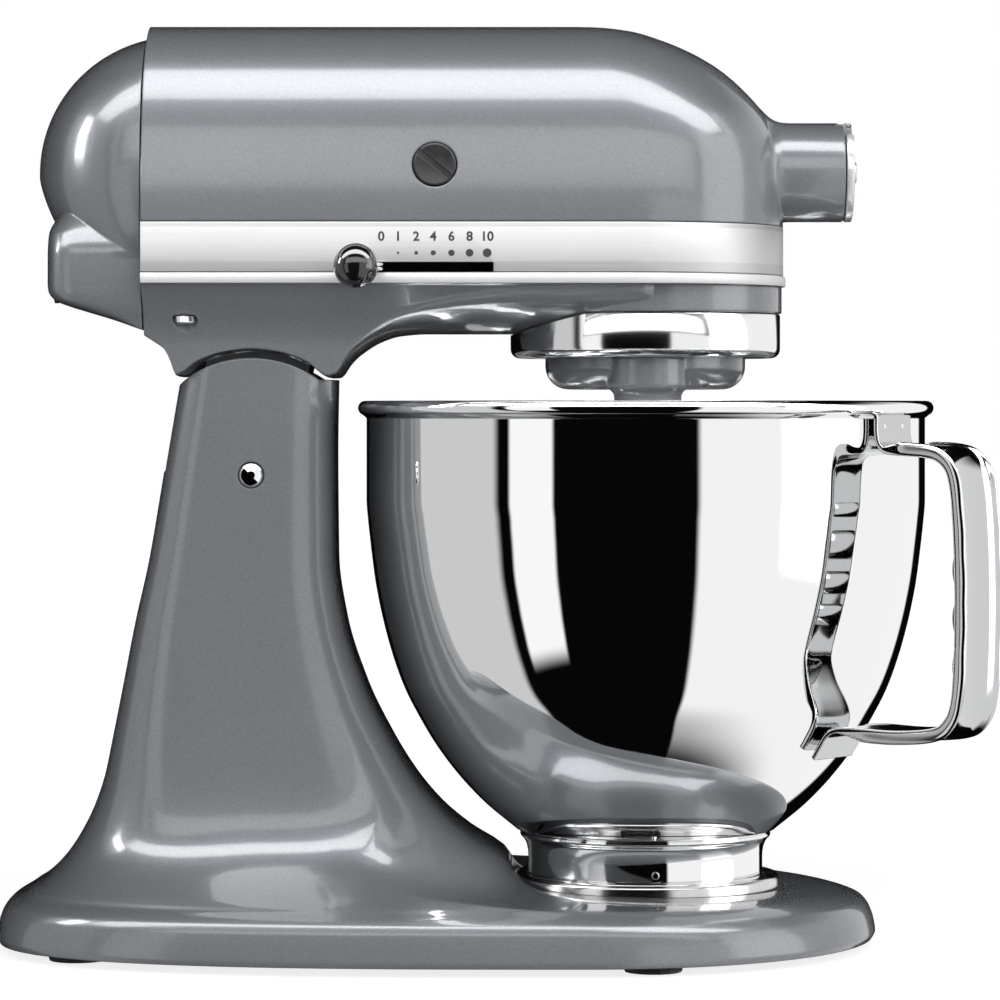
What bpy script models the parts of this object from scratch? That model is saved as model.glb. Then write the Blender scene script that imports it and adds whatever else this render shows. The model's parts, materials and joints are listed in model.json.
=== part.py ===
"""Tilt-head stand mixer: stand, tilting head with its gear train, mixing bowl and controls.

Lengths are millimetres here and become metres when a mesh is made.  X is measured from the
bowl's axis, +X points to the front of the mixer and +Z is up from the table.  BOWL_AXIS_X then
moves everything so that the world origin is below the middle of the whole mixer.
"""

from math import asin, atan2, copysign, cos, hypot, pi, radians, sin, sqrt, tan

import bmesh
import bpy
from mathutils import Matrix, Vector

MM = 0.001
BOWL_AXIS_X = 60.15
GAP = 0.35

# Hinge of the head
PIVOT_X, PIVOT_Z = -150.7, 182.0
COLUMN_TOP_RADIUS, NECK_RADIUS = 44.3, 47.1
COLUMN_HALF_WIDTH = 42.5
LUG_HALF_WIDTH, SLOT_HALF_WIDTH = 22.0, 26.0
LUG_RADIUS = 13.0
PIN_RADIUS = 4.75
BOLT_RADIUS, BOLT_DROP = 3.6, 18.0

# Head
REAR_SEAM_X = -191.2
HEAD_TOP, BAND_TOP, BAND_BOTTOM, SPLIT_Z = 355.0, 277.3, 254.3, 267.7
HEAD_HALF_WIDTH, NOSE_CENTRE_X, NOSE_LENGTH = 60.0, -10.0, 63.4
ARM_BOTTOM = 236.0
FRONT_RADIUS, FRONT_BOTTOM = 52.9, 243.9
MOTOR_Z = 298.8
DOME_POWER = 2.4
HUB_RADIUS, HUB_FACE_X = 19.2, 76.7
BRUSH_X = -80.9
WALL = 3.6

# Gear train
SPUR_MODULE, WORM_MODULE = 1.5, 1.25
RING_TEETH, PLANET_TEETH = 51, 12
CENTRE_TEETH, PINION_TEETH = 45, 15
WHEEL_TEETH, WORM_STARTS, WORM_RADIUS = 30, 2, 7.0
BEVEL_TEETH, BEVEL_RADIUS = 12, 12.0
PLANET_OFFSET = SPUR_MODULE * (RING_TEETH - PLANET_TEETH) / 2
WHEEL_RADIUS = WORM_MODULE * WHEEL_TEETH / 2
SHAFT_DISTANCE = SPUR_MODULE * (CENTRE_TEETH + PINION_TEETH) / 2
WHEEL_Y = WORM_RADIUS + WHEEL_RADIUS
WHEEL_X = -sqrt(SHAFT_DISTANCE**2 - WHEEL_Y**2)
GEAR_Z = (250.5, 258.0)

# Bowl and its clamp
RIM_RADIUS, BOWL_RADIUS, BOWL_TOP = 111.5, 108.2, 210.2
BOWL_WALL = 1.5
FOOT_RADIUS = 45.4
PLATE_RADIUS, PLATE_Z, PLATE_TOP = 52.2, 20.8, 27.5
HANDLE_DIRECTION = radians(-35)

# Speed lever
LEVER_X, LEVER_Z, LEVER_TRAVEL = -101.0, 260.3, 39.0


for old in list(bpy.data.objects):
    bpy.data.objects.remove(old, do_unlink=True)


def material(name, colour, metallic, roughness):
    made = bpy.data.materials.new(name)
    made.use_nodes = True
    shader = made.node_tree.nodes["Principled BSDF"]
    shader.inputs["Base Color"].default_value = (*colour, 1)
    shader.inputs["Metallic"].default_value = metallic
    shader.inputs["Roughness"].default_value = roughness
    made.diffuse_color = (*colour, 1)
    return made


PAINT = material("grey metallic paint", (0.13, 0.14, 0.15), 0.6, 0.3)
CHROME = material("polished chrome", (0.8, 0.8, 0.8), 1.0, 0.06)
BRUSHED = material("brushed steel", (0.6, 0.6, 0.6), 1.0, 0.3)
STEEL = material("machined steel", (0.45, 0.45, 0.46), 1.0, 0.35)
ALUMINIUM = material("cast aluminium", (0.6, 0.61, 0.62), 1.0, 0.45)
BRASS = material("brass", (0.7, 0.52, 0.25), 1.0, 0.3)
COPPER = material("copper", (0.72, 0.38, 0.22), 1.0, 0.35)
BLACK = material("black plastic", (0.01, 0.01, 0.01), 0.0, 0.15)
DARK = material("dark plastic", (0.03, 0.03, 0.035), 0.0, 0.4)
RUBBER = material("rubber", (0.02, 0.02, 0.02), 0.0, 0.7)
CARBON = material("carbon", (0.05, 0.05, 0.05), 0.0, 0.6)


# Shapes: each function returns (points, faces) of one closed surface


def loft(rings, closed=False):
    """Skins equal-length rings; both ends are capped unless the last ring joins the first."""
    count = len(rings[0])
    points = [point for ring in rings for point in ring]
    faces = []
    for r in range(len(rings) if closed else len(rings) - 1):
        below, above = r * count, (r + 1) % len(rings) * count
        for k in range(count):
            after = (k + 1) % count
            faces.append((below + k, below + after, above + after, above + k))
    if not closed:
        faces.append(tuple(range(count)))
        faces.append(tuple(range(len(points) - count, len(points))))
    return points, faces


def placed(axis, along, across, up, centre=(0, 0, 0)):
    """A point whose coordinate along the named axis is `along`; the other two follow in order."""
    order = {"X": (along, across, up), "Y": (across, along, up), "Z": (across, up, along)}[axis]
    return tuple(a + b for a, b in zip(order, centre))


def circle(axis, along, radius, centre=(0, 0, 0), count=24):
    turns = [2 * pi * (k + 0.5) / count for k in range(count)]
    return [placed(axis, along, radius * cos(a), radius * sin(a), centre) for a in turns]


def turned(axis, profile, centre=(0, 0, 0), count=18):
    """Revolves a closed (radius, along) profile that stays off the axis."""
    return loft([circle(axis, along, radius, centre, count) for radius, along in profile], True)


def rod(axis, low, high, radius, centre=(0, 0, 0), count=12):
    return loft([circle(axis, low, radius, centre, count), circle(axis, high, radius, centre, count)])


def stepped(axis, steps, centre=(0, 0, 0), count=14):
    """A solid shaft through (radius, along) steps."""
    return loft([circle(axis, along, radius, centre, count) for radius, along in steps])


def prism(axis, outline, low, high, centre=(0, 0, 0)):
    return loft([[placed(axis, along, a, b, centre) for a, b in outline] for along in (low, high)])


def box(low, high):
    outline = [(low[0], low[1]), (high[0], low[1]), (high[0], high[1]), (low[0], high[1])]
    return prism("Z", outline, low[2], high[2])


def turned_about_z(shape, angle, centre=(0, 0)):
    points, faces = shape
    turn = Matrix.Rotation(angle, 3, "Z")
    middle = Vector((*centre, 0))
    return [tuple(turn @ (Vector(p) - middle) + middle) for p in points], faces


def power(value, exponent):
    return copysign(abs(value) ** exponent, value)


def oval(rear, middle, front, half_width, rear_power, front_power, z, count=26):
    """A horizontal ring with its own superellipse power behind and ahead of its widest point."""
    ring = []
    for k in range(count):
        angle = 2 * pi * (k + 0.5) / count
        ahead = cos(angle) > 0
        bend = front_power if ahead else rear_power
        reach = front - middle if ahead else middle - rear
        x = middle + reach * power(cos(angle), 2 / bend)
        ring.append((x, half_width * power(sin(angle), 2 / bend), z))
    return ring


def horseshoe(flat_x, centre_x, length, half_width, z, bend=2.0, count=12):
    """A horizontal ring, straight from flat_x to centre_x and rounded beyond it."""
    ring = [(flat_x, half_width, z)]
    for k in range(count + 1):
        angle = pi / 2 - pi * k / count
        x = centre_x + length * power(cos(angle), 2 / bend)
        ring.append((x, half_width * power(sin(angle), 2 / bend), z))
    return ring + [(flat_x, -half_width, z)]


def toothed(teeth, module, phase, centre, tip=0.9, root=1.15, share=0.4):
    """The outline of a spur gear with straight-sided teeth; share is its tooth part of the pitch."""
    radius, pitch = module * teeth / 2, 2 * pi / teeth
    slope = tan(radians(22)) * module / radius
    outline = []
    for k in range(teeth):
        middle = phase + k * pitch
        foot, crest = share * pitch / 2 + root * slope, share * pitch / 2 - tip * slope
        for r, a in ((-root, -foot), (tip, -crest), (tip, crest), (-root, foot)):
            reach = radius + r * module
            outline.append((centre[0] + reach * cos(middle + a), centre[1] + reach * sin(middle + a)))
    return outline


def bevel_rings(axis, apex, teeth, radius, face, phase, side):
    """The large and the small end ring of a 45 degree bevel gear, `side` of its apex along the axis."""
    rings = []
    pitch = 2 * pi / teeth
    for scale in (1, 1 - face / radius):
        ring = []
        for k in range(teeth):
            for height, angle in ((-1.5, -0.36), (1.0, -0.13), (1.0, 0.13), (-1.5, 0.36)):
                reach = (radius + 0.7 * height) * scale
                along = side * (radius - 0.7 * height) * scale
                turn = phase + (k + angle) * pitch
                ring.append(placed(axis, along, reach * cos(turn), reach * sin(turn), apex))
        rings.append(ring)
    return rings


# Objects


class Body:
    """An empty on a joint's axis, which carries the pieces that move together."""

    def __init__(self, name, origin=(0, 0, 0), parent=None):
        self.origin = Vector(origin)
        self.empty = bpy.data.objects.new(name + "_axis", None)
        bpy.context.collection.objects.link(self.empty)
        start = Vector((-BOWL_AXIS_X, 0, 0))
        if parent:
            self.empty.parent = parent.empty
            start = parent.origin
        self.empty.location = (self.origin - start) * MM


def mesh_of(name, shape, origin):
    points, faces = shape
    mesh = bpy.data.meshes.new(name)
    mesh.from_pydata([(Vector(p) - origin) * MM for p in points], [], faces)
    bm = bmesh.new()
    bm.from_mesh(mesh)
    bmesh.ops.recalc_face_normals(bm, faces=bm.faces)
    bm.to_mesh(mesh)
    bm.free()
    mesh.shade_smooth()
    mesh.set_sharp_from_angle(angle=radians(30))
    return mesh


def piece(name, body, finish, shape, *steps):
    """One part of the mixer: a shape and its Boolean steps, as ("add" or "cut" or "keep", shape)."""
    made = bpy.data.objects.new(name, mesh_of(name, shape, body.origin))
    made.data.materials.append(finish)
    made.parent = body.empty
    bpy.context.collection.objects.link(made)
    operations = {"add": "UNION", "cut": "DIFFERENCE", "keep": "INTERSECT"}
    for number, (action, tool_shape) in enumerate(steps):
        tool_name = f"{name}_{action}_{number}"
        tool = bpy.data.objects.new(tool_name, mesh_of(tool_name, tool_shape, body.origin))
        tool.parent = body.empty
        tool.hide_render = True
        tool.display_type = "WIRE"
        bpy.context.collection.objects.link(tool)
        modifier = made.modifiers.new(tool_name, "BOOLEAN")
        modifier.operation = operations[action]
        modifier.object = tool
    return made


# Bodies

PIVOT = (PIVOT_X, 0, PIVOT_Z)
APEX = (0, 0, MOTOR_Z)
HUB_HINGE = (78.5, 0, 316.9)
KNOB_POINT = (38.0, 50.0, MOTOR_Z)
BEATER_AXIS = (0, -PLANET_OFFSET, 0)

base = Body("base")
lock = Body("lock_bolt", (-172, 0, PIVOT_Z - BOLT_DROP), base)
head = Body("head", PIVOT, base)
armature = Body("armature", (BRUSH_X, 0, MOTOR_Z), head)
wheel = Body("worm_wheel", (WHEEL_X, WHEEL_Y, MOTOR_Z), head)
planetary = Body("planetary", (0, 0, ARM_BOTTOM), head)
beater = Body("beater", (0, -PLANET_OFFSET, ARM_BOTTOM), planetary)
hub_drive = Body("hub_drive", APEX, head)
speed = Body("speed_lever", (LEVER_X, -HEAD_HALF_WIDTH, LEVER_Z), head)
hub_lid = Body("hub_cover", HUB_HINGE, head)
hub_screw = Body("attachment_knob", KNOB_POINT, head)
bowl = Body("bowl", (0, 0, PLATE_Z), base)


# Stand: one shell casting, given as horizontal stations
# height, rear, widest point, front, half width, rear power, front power

STAND_STATIONS = (
    (3.5, -248.7, -25, 87.6, 111.0, 3.0, 2.05),
    (6.0, -249.6, -25, 88.9, 112.0, 3.0, 2.05),
    (10.5, -249.0, -25, 88.2, 111.3, 3.0, 2.05),
    (15.0, -247.6, -26, 86.6, 109.8, 3.0, 2.05),
    (18.2, -245.6, -28, 84.2, 107.6, 3.0, 2.05),
    (20.3, -242.6, -32, 78.5, 104.6, 3.0, 2.1),
    (22.2, -239.4, -36, 66.0, 100.6, 3.0, 2.1),
    (24.0, -236.8, -55, -40.0, 96.6, 3.0, 2.2),
    (26.0, -233.5, -80, -46.0, 91.0, 3.0, 2.3),
    (30.0, -228.8, -110, -50.0, 82.0, 2.9, 2.6),
    (36.0, -223.3, -130, -54.0, 71.0, 2.9, 2.8),
    (44.0, -218.0, -140, -66.5, 62.0, 3.0, 3.0),
    (54.0, -213.0, -148, -78.5, 56.0, 3.1, 3.2),
    (66.0, -208.9, -150, -88.6, 52.0, 3.2, 3.4),
    (80.0, -205.9, -151, -97.4, 49.0, 3.4, 3.6),
    (100.0, -201.9, -152, -107.4, 46.0, 3.6, 3.8),
    (125.0, -197.0, -153, -115.6, 44.0, 3.8, 4.0),
    (150.0, -191.4, -153, -119.2, 43.0, 4.0, 4.0),
    (190.0, -184.6, -151, -119.6, COLUMN_HALF_WIDTH, 4.0, 4.0),
    (228.0, -178.0, -149, -119.0, COLUMN_HALF_WIDTH, 4.0, 4.0),
)
HEIGHT_SCREW_X = -123.3
COLUMN_FRONT_TOP = 218.2
FOOT_PLACES = ((66, 0), (0, 88), (0, -88), (-215, 55), (-215, -55))
CLAMP_SCREWS = [(30 * cos(radians(a)), 30 * sin(radians(a))) for a in (52, 172, 292)]


def stand_ring(height, rear, middle, front, half_width, rear_power, front_power):
    return oval(rear, middle, front, half_width, rear_power, front_power, height)


def stand_hollow():
    """The inside of the casting: the outer stations, narrower by a wall and lower by a ceiling."""
    wall, ceiling = 5.0, 8.0
    rings = []
    first = STAND_STATIONS[1]
    for station in ((ceiling - 1.0, *first[1:]), *STAND_STATIONS[2:-1]):
        height, rear, middle, front, half_width, *bends = station
        sides = (rear + wall, middle, front - wall, half_width - wall)
        rings.append(oval(*sides, *bends, height - ceiling, 18))
    return loft(rings)


def column_profile():
    """The side outline that the casting stays inside: the column's top is round about the hinge."""
    rise = 6.0
    outline = [(-300, -5), (150, -5), (150, COLUMN_FRONT_TOP)]
    start = asin((COLUMN_FRONT_TOP - PIVOT_Z) / COLUMN_TOP_RADIUS)
    end = pi - asin(rise / COLUMN_TOP_RADIUS)
    for k in range(13):
        angle = start + (end - start) * k / 12
        outline.append(
            (PIVOT_X + COLUMN_TOP_RADIUS * cos(angle), PIVOT_Z + COLUMN_TOP_RADIUS * sin(angle))
        )
    return outline + [(-300, PIVOT_Z + rise)]


stand_cuts = [
    ("keep", prism("Y", column_profile(), -150, 150)),
    ("cut", stand_hollow()),
    ("cut", box((-178, -SLOT_HALF_WIDTH, 176), (-127, SLOT_HALF_WIDTH, 240))),
    ("cut", box((-205, -SLOT_HALF_WIDTH, 183), (-170, SLOT_HALF_WIDTH, 240))),
    ("cut", rod("Z", PLATE_Z - GAP, 50, 55.0, count=40)),
    ("cut", rod("Y", -60, 60, PIN_RADIUS + 0.3, (PIVOT_X, 0, PIVOT_Z))),
    ("cut", box((-178, 30, PIVOT_Z - BOLT_DROP - 3.5), (-159, 60, PIVOT_Z - BOLT_DROP + 3.5))),
]
stand_cuts += [("add", rod("Z", 6.0, 17.5, 7.0, (x, y, 0), 12)) for x, y in FOOT_PLACES]
stand_cuts += [("cut", rod("Z", 14, 30, 2.3, (x, y, 0), 10)) for x, y in CLAMP_SCREWS]
stand_cuts.append(("cut", rod("Z", 199, 230, 2.5, (HEIGHT_SCREW_X, 0, 0), 12)))
piece("stand", base, PAINT, loft([stand_ring(*s) for s in STAND_STATIONS]), *stand_cuts)

for number, (x, y) in enumerate(FOOT_PLACES, 1):
    steps = [(10.5, 0), (11.0, 1.0), (10.0, 5.6)]
    piece(f"rubber_foot_{number}", base, RUBBER, stepped("Z", steps, (x, y, 0), 16))

pin_half = COLUMN_HALF_WIDTH + 1.6
pin_steps = [(1.5, -pin_half), (PIN_RADIUS - 0.8, 0.7 - pin_half), (PIN_RADIUS, 1.8 - pin_half)]
pin_steps += [(radius, -along) for radius, along in reversed(pin_steps)]
piece("hinge_pin", base, CHROME, stepped("Y", pin_steps, PIVOT, 20))
height_screw = rod("Z", 200, 214.5, 2.2, (HEIGHT_SCREW_X, 0, 0), 12)
driver_slot = box((HEIGHT_SCREW_X - 4, -0.5, 213.3), (HEIGHT_SCREW_X + 4, 0.5, 216))
piece("head_height_screw", base, STEEL, height_screw, ("cut", driver_slot))


# Bowl clamp plate

GAP_ANGLES = [radians(a) for a in (25, 145, 265)]
plate_profile = (
    (10.0, PLATE_Z),
    (PLATE_RADIUS, PLATE_Z),
    (PLATE_RADIUS, PLATE_TOP - 1.3),
    (PLATE_RADIUS - 1.0, PLATE_TOP),
    (FOOT_RADIUS + 0.6, PLATE_TOP),
    (FOOT_RADIUS + 0.6, PLATE_TOP - 1.4),
    (PLATE_RADIUS - 4.5, PLATE_TOP - 1.4),
    (PLATE_RADIUS - 4.5, PLATE_Z + 1.5),
    (10.0, PLATE_Z + 1.5),
)
plate_cuts = [("cut", rod("Z", 15, 30, 2.6, (x, y, 0), 10)) for x, y in CLAMP_SCREWS]
for angle in GAP_ANGLES:
    notch = box((40, -9.5, PLATE_TOP - 2.0), (PLATE_RADIUS - 3.8, 9.5, PLATE_TOP + 2))
    plate_cuts.append(("cut", turned_about_z(notch, angle)))
piece("bowl_clamp_plate", base, BRUSHED, turned("Z", plate_profile, count=28), *plate_cuts)

for number, (x, y) in enumerate(CLAMP_SCREWS, 1):
    top = PLATE_Z + 1.5 + GAP
    steps = [(2.0, 16.5), (2.0, top), (4.2, top), (4.2, top + 1.2), (3.0, top + 2.0)]
    piece(f"clamp_plate_screw_{number}", base, STEEL, stepped("Z", steps, (x, y, 0), 12))


# Head lock: a bolt that slides forward into the neck's tail, and its outside knob

bolt_z = PIVOT_Z - BOLT_DROP
piece(
    "lock_bolt",
    lock,
    STEEL,
    rod("X", -178, -159.8, BOLT_RADIUS, (0, 0, bolt_z)),
    ("add", rod("Y", 0, 52, 2.9, (-174, 0, bolt_z), 12)),
)
knob_outline = [(-174 + 8 * cos(2 * pi * k / 16), bolt_z + 6 * sin(2 * pi * k / 16)) for k in range(16)]
piece(
    "lock_lever_knob",
    lock,
    BLACK,
    prism("Y", knob_outline, 45.0, 57.0),
    ("cut", rod("Y", 40, 53, 3.2, (-174, 0, bolt_z), 12)),
)


# Gearcase: the lower half of the head


ARM_HALF_WIDTH = 57.3
NECK_FOOT_Z, NECK_FLARE = 232.0, 22.0
UNDERSIDE_POWER = 1.9


def arm_side(z, low, ridge):
    """Half width of the arm: the neck's flank above the ridge and a round underside below it."""
    rise = min(1.0, max(0.0, (max(z, ridge) - NECK_FOOT_Z) / NECK_FLARE))
    flank = COLUMN_HALF_WIDTH + (ARM_HALF_WIDTH - COLUMN_HALF_WIDTH) * rise**1.5
    if z >= ridge:
        return flank
    depth = min(1.0, (ridge - z) / (ridge - low))
    return flank * (1 - depth**UNDERSIDE_POWER) ** (1 / UNDERSIDE_POWER)


def arc_height(x):
    return PIVOT_Z + sqrt(NECK_RADIUS**2 - (x - PIVOT_X) ** 2)


# along the arm: its underside's height and the height of the ridge between underside and flank
ARM_STATIONS = [(REAR_SEAM_X, 234.2, 235.2), (-187.0, 231.5, 232.5), (-183.7, 229.0, 230.0), (-181.0, 223.5, 224.5)]
ARM_STATIONS += [(x, arc_height(x), arc_height(x) + 1.0) for x in (-179.4, -171, -161, -150.7, -140, -130, -121.4)]
ARM_STATIONS += [(-118.6, 219.0, 221.0), (-115.0, 223.5, 227.0), (-111.0, 227.5, 232.0), (-103.0, 232.6, 239.0)]
ARM_STATIONS += [(-95.0, 235.2, 243.5), (-85.0, ARM_BOTTOM, 247.0), (-70.0, ARM_BOTTOM, 250.2)]
ARM_STATIONS += [(-50.0, ARM_BOTTOM, 252.6), (-25.0, ARM_BOTTOM, 253.5), (NOSE_CENTRE_X, ARM_BOTTOM, 253.6)]
SIDE_LEVELS = (1.0, 0.8, 0.6, 0.42, 0.26, 0.12, 0.03, 0.0)


def arm_ring(x, low, ridge, narrow=1.0, grow=0.0):
    top_half = (HEAD_HALF_WIDTH - 1.6) * narrow
    side = [(top_half, SPLIT_Z), (top_half, BAND_BOTTOM)]
    for level in SIDE_LEVELS:
        z = low + (BAND_BOTTOM - 0.4 - low) * level
        half = arm_side(z, low - 0.1, ridge) * narrow
        if x > -1:
            half = min(half, sqrt(max(1.0, (FRONT_RADIUS - 0.6) ** 2 - x * x)))
        side.append((half + grow, z - grow))
    ring = [(x, half, z) for half, z in side] + [(x, 0, low - grow)]
    return ring + [(x, -half, z) for half, z in reversed(side)]


def arm_shape(grow=0.0):
    rings = [arm_ring(*station, grow=grow) for station in ARM_STATIONS]
    for angle in (20, 38, 54, 68, 79, 86):
        x = NOSE_CENTRE_X + (NOSE_LENGTH - 1.6) * sin(radians(angle))
        rings.append(arm_ring(x, *ARM_STATIONS[-1][1:], cos(radians(angle)), grow))
    return loft(rings)


def at_angle(angle, radius):
    return PIVOT_X + radius * cos(radians(angle)), PIVOT_Z + radius * sin(radians(angle))


front_steps = [(FRONT_RADIUS, FRONT_BOTTOM), (FRONT_RADIUS, BAND_BOTTOM - 0.3)]
front_steps += [(FRONT_RADIUS - 1.6, BAND_BOTTOM - 0.2), (FRONT_RADIUS - 1.6, SPLIT_Z)]
cavity_rings = [
    horseshoe(-230, NOSE_CENTRE_X, 52, 40.0, 247.9),
    horseshoe(-230, NOSE_CENTRE_X, 54, 48.0, 252.0),
    horseshoe(-230, NOSE_CENTRE_X, 57, 54.0, 258.0),
    horseshoe(-230, NOSE_CENTRE_X, 57.8, 54.6, 290.0),
]
web = [at_angle(64, 52), at_angle(112, 52), (PIVOT_X - 11, PIVOT_Z), (PIVOT_X + 11, PIVOT_Z)]
gearcase_steps = [
    ("add", stepped("Z", front_steps, count=40)),
    ("cut", loft(cavity_rings)),
    ("cut", box((-230, -33, 241), (-58, 33, 250))),
    ("cut", rod("Z", 200, FRONT_BOTTOM, 49.0, count=40)),
    ("cut", rod("Z", 230, 260, 7.2, count=20)),
    ("add", prism("Y", web, -LUG_HALF_WIDTH, LUG_HALF_WIDTH)),
    ("add", rod("Y", -LUG_HALF_WIDTH, LUG_HALF_WIDTH, LUG_RADIUS, PIVOT, 20)),
    ("add", box((PIVOT_X - 7.5, -14, PIVOT_Z - 26), (PIVOT_X + 7.5, 14, PIVOT_Z))),
    ("cut", rod("Y", -40, 40, PIN_RADIUS + 0.35, PIVOT)),
    ("cut", rod("X", -165, -137, BOLT_RADIUS + 0.6, (0, 0, bolt_z))),
    ("cut", box((LEVER_X - 3.2, -70, LEVER_Z - 2.1), (LEVER_X + LEVER_TRAVEL + 3.2, -40, LEVER_Z + 2.1))),
]
POCKET_X, POCKET_Y, POCKET_Z, POCKET_LEAN = -175.6, 45.5, 242.6, 0.42


def neck_pocket(side, steps, count=14):
    """A round shape down the leaning axis of a neck screw, through (radius, depth below the pocket's end) steps."""
    rings = []
    for radius, depth in steps:
        centre = (POCKET_X + 0.12 * depth, side * (POCKET_Y + POCKET_LEAN * depth), 0)
        rings.append(circle("Z", POCKET_Z - depth, radius, centre, count))
    return loft(rings)


for side in (-1, 1):
    gearcase_steps.append(("cut", neck_pocket(side, ((4.9, 24.0), (4.7, 1.0), (4.0, 0.0)))))
    gearcase_steps.append(("cut", neck_pocket(side, ((2.4, 1.0), (2.4, -12.0)), 10)))
piece("gearcase", head, PAINT, arm_shape(), *gearcase_steps)

for name, side in (("near", -1), ("far", 1)):
    steps = ((2.2, 3.4), (3.7, 2.8), (3.9, 0.5), (2.0, 0.4), (2.0, -9.0))
    piece(f"neck_screw_{name}", head, CHROME, neck_pocket(side, steps))


# Motor housing: the upper shell of the head, with the attachment hub


# front reach of the dome by height
NOSE_PROFILE = (
    (277.3, 53.4),
    (290.0, 53.3),
    (300.0, 52.9),
    (310.0, 51.2),
    (318.0, 48.0),
    (324.0, 44.0),
    (332.0, 36.5),
    (338.3, 29.0),
    (343.3, 21.0),
    (347.2, 13.0),
    (350.3, 5.0),
    (352.7, -2.5),
    (354.3, -12.0),
    (HEAD_TOP, -24.0),
)


def nose_reach(height):
    for (z1, x1), (z2, x2) in zip(NOSE_PROFILE, NOSE_PROFILE[1:]):
        if height <= z2:
            return x1 + (x2 - x1) * (height - z1) / (z2 - z1)
    return NOSE_PROFILE[-1][1]


def housing_ring(share, shrink=0.0, rear=REAR_SEAM_X):
    """A horizontal ring at a share of the dome's height, by which its width and nose draw in."""
    z = BAND_TOP + 0.3 + (HEAD_TOP - BAND_TOP - 0.3 - shrink) * share
    width = max(0.0, 1 - share**DOME_POWER) ** (1 / DOME_POWER)
    length = NOSE_LENGTH * width
    reach = nose_reach(z + shrink * share) - shrink
    return horseshoe(rear, reach - length, length, (HEAD_HALF_WIDTH - shrink) * width, z)


DOME_SHARES = (0.0, 0.2, 0.38, 0.54, 0.68, 0.8, 0.89, 0.96, 0.995)
recess = [
    horseshoe(REAR_SEAM_X, NOSE_CENTRE_X, NOSE_LENGTH - 1.6, HEAD_HALF_WIDTH - 1.6, z)
    for z in (SPLIT_Z + 0.3, BAND_TOP + 0.29)
]
inner_low = [horseshoe(-230, NOSE_CENTRE_X, NOSE_LENGTH - WALL - 2, HEAD_HALF_WIDTH - WALL - 2, 250)]
inner_dome = [housing_ring(share, WALL, -230) for share in DOME_SHARES[:-1]]
hub_steps = [(30.0, 30.0), (28.0, 41.0), (24.8, 44.6), (22.2, 47.2), (20.4, 49.8), (19.5, 52.5)]
hub_steps += [(HUB_RADIUS, 55.5), (HUB_RADIUS, HUB_FACE_X - 0.8), (HUB_RADIUS - 0.8, HUB_FACE_X)]
housing_steps = [
    ("add", stepped("X", hub_steps, APEX, 28)),
    ("cut", loft(inner_low + inner_dome)),
    ("cut", rod("X", 30, 90, 9.6, APEX, 20)),
    ("cut", rod("Y", -70, 70, 8.5, (BRUSH_X, 0, MOTOR_Z), 20)),
    ("cut", rod("Y", 5, 70, 3.4, (KNOB_POINT[0], 0, MOTOR_Z), 12)),
    ("cut", box((HUB_FACE_X - 2.4, -4.9, 313), (90, 4.9, 325))),
]
for side in (-1, 1):
    ear = box((HUB_FACE_X - 3.3, side * 5.9 - 0.8, 313.6), (80.2, side * 5.9 + 0.8, 317.5))
    housing_steps.append(("add", ear))
housing_steps.append(("cut", rod("Y", -10, 10, 1.1, HUB_HINGE, 10)))
housing = [*recess, *[housing_ring(share) for share in DOME_SHARES]]
piece("motor_housing", head, PAINT, loft(housing), *housing_steps)
piece("hub_cover_pin", head, STEEL, rod("Y", -6.6, 6.6, 0.8, HUB_HINGE, 10))

cover_steps = [(HUB_RADIUS, HUB_FACE_X + 0.5), (HUB_RADIUS, 78.6), (17.5, 80.0), (9.0, 80.9), (3.0, 81.4)]
lid_cuts = [("cut", box((70, low, 312.8), (90, low + 3.0, 325))) for low in (-7.4, 4.4)]
piece(
    "hub_cover",
    hub_lid,
    CHROME,
    stepped("X", cover_steps, APEX, 28),
    *lid_cuts,
    ("cut", rod("Y", -20, 20, 1.1, HUB_HINGE, 10)),
)

knob_steps = [(2.9, 12.0), (2.9, 46.5), (6.0, 46.6), (12.5, 48.5), (12.5, 57.0), (10.5, 59.0)]
piece("attachment_knob", hub_screw, BLACK, stepped("Y", knob_steps, (KNOB_POINT[0], 0, MOTOR_Z), 20))


# Trim band: one U-shaped strip with a raised lower edge


def band_ring(offset, z, count=20):
    """The path of the band at an offset from the housing's side, from the near end to the far end."""
    half, length = HEAD_HALF_WIDTH + offset, NOSE_LENGTH + offset
    path = [(REAR_SEAM_X, -half, z), (-100, -half, z)]
    for k in range(count + 1):
        angle = -pi / 2 + pi * k / count
        path.append((NOSE_CENTRE_X + length * cos(angle), half * sin(angle), z))
    return path + [(-100, half, z), (REAR_SEAM_X, half, z)]


band_section = (
    (-1.2, BAND_BOTTOM),
    (0.9, BAND_BOTTOM),
    (0.9, BAND_BOTTOM + 3.8),
    (0.1, BAND_BOTTOM + 4.2),
    (0.1, BAND_TOP),
    (-1.2, BAND_TOP),
)
band_paths = [band_ring(offset, z) for offset, z in band_section]
band_rings = [list(ring) for ring in zip(*band_paths)]
slot_low, slot_high = (LEVER_X - 3.2, -70, LEVER_Z - 1.9), (LEVER_X + LEVER_TRAVEL + 3.2, -50, LEVER_Z + 1.9)
piece("trim_band", head, BRUSHED, loft(band_rings), ("cut", box(slot_low, slot_high)))


# Rear cover: a dome with a square chin below it

COVER_X = REAR_SEAM_X - 0.5
GROMMET_Z = 256.0
COVER_SCREW_Z = 300.0


COVER_CENTRE_X, COVER_LENGTH = -180.0, 54.8
SEAM_LEAN = asin((COVER_CENTRE_X - COVER_X) / COVER_LENGTH)


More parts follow.
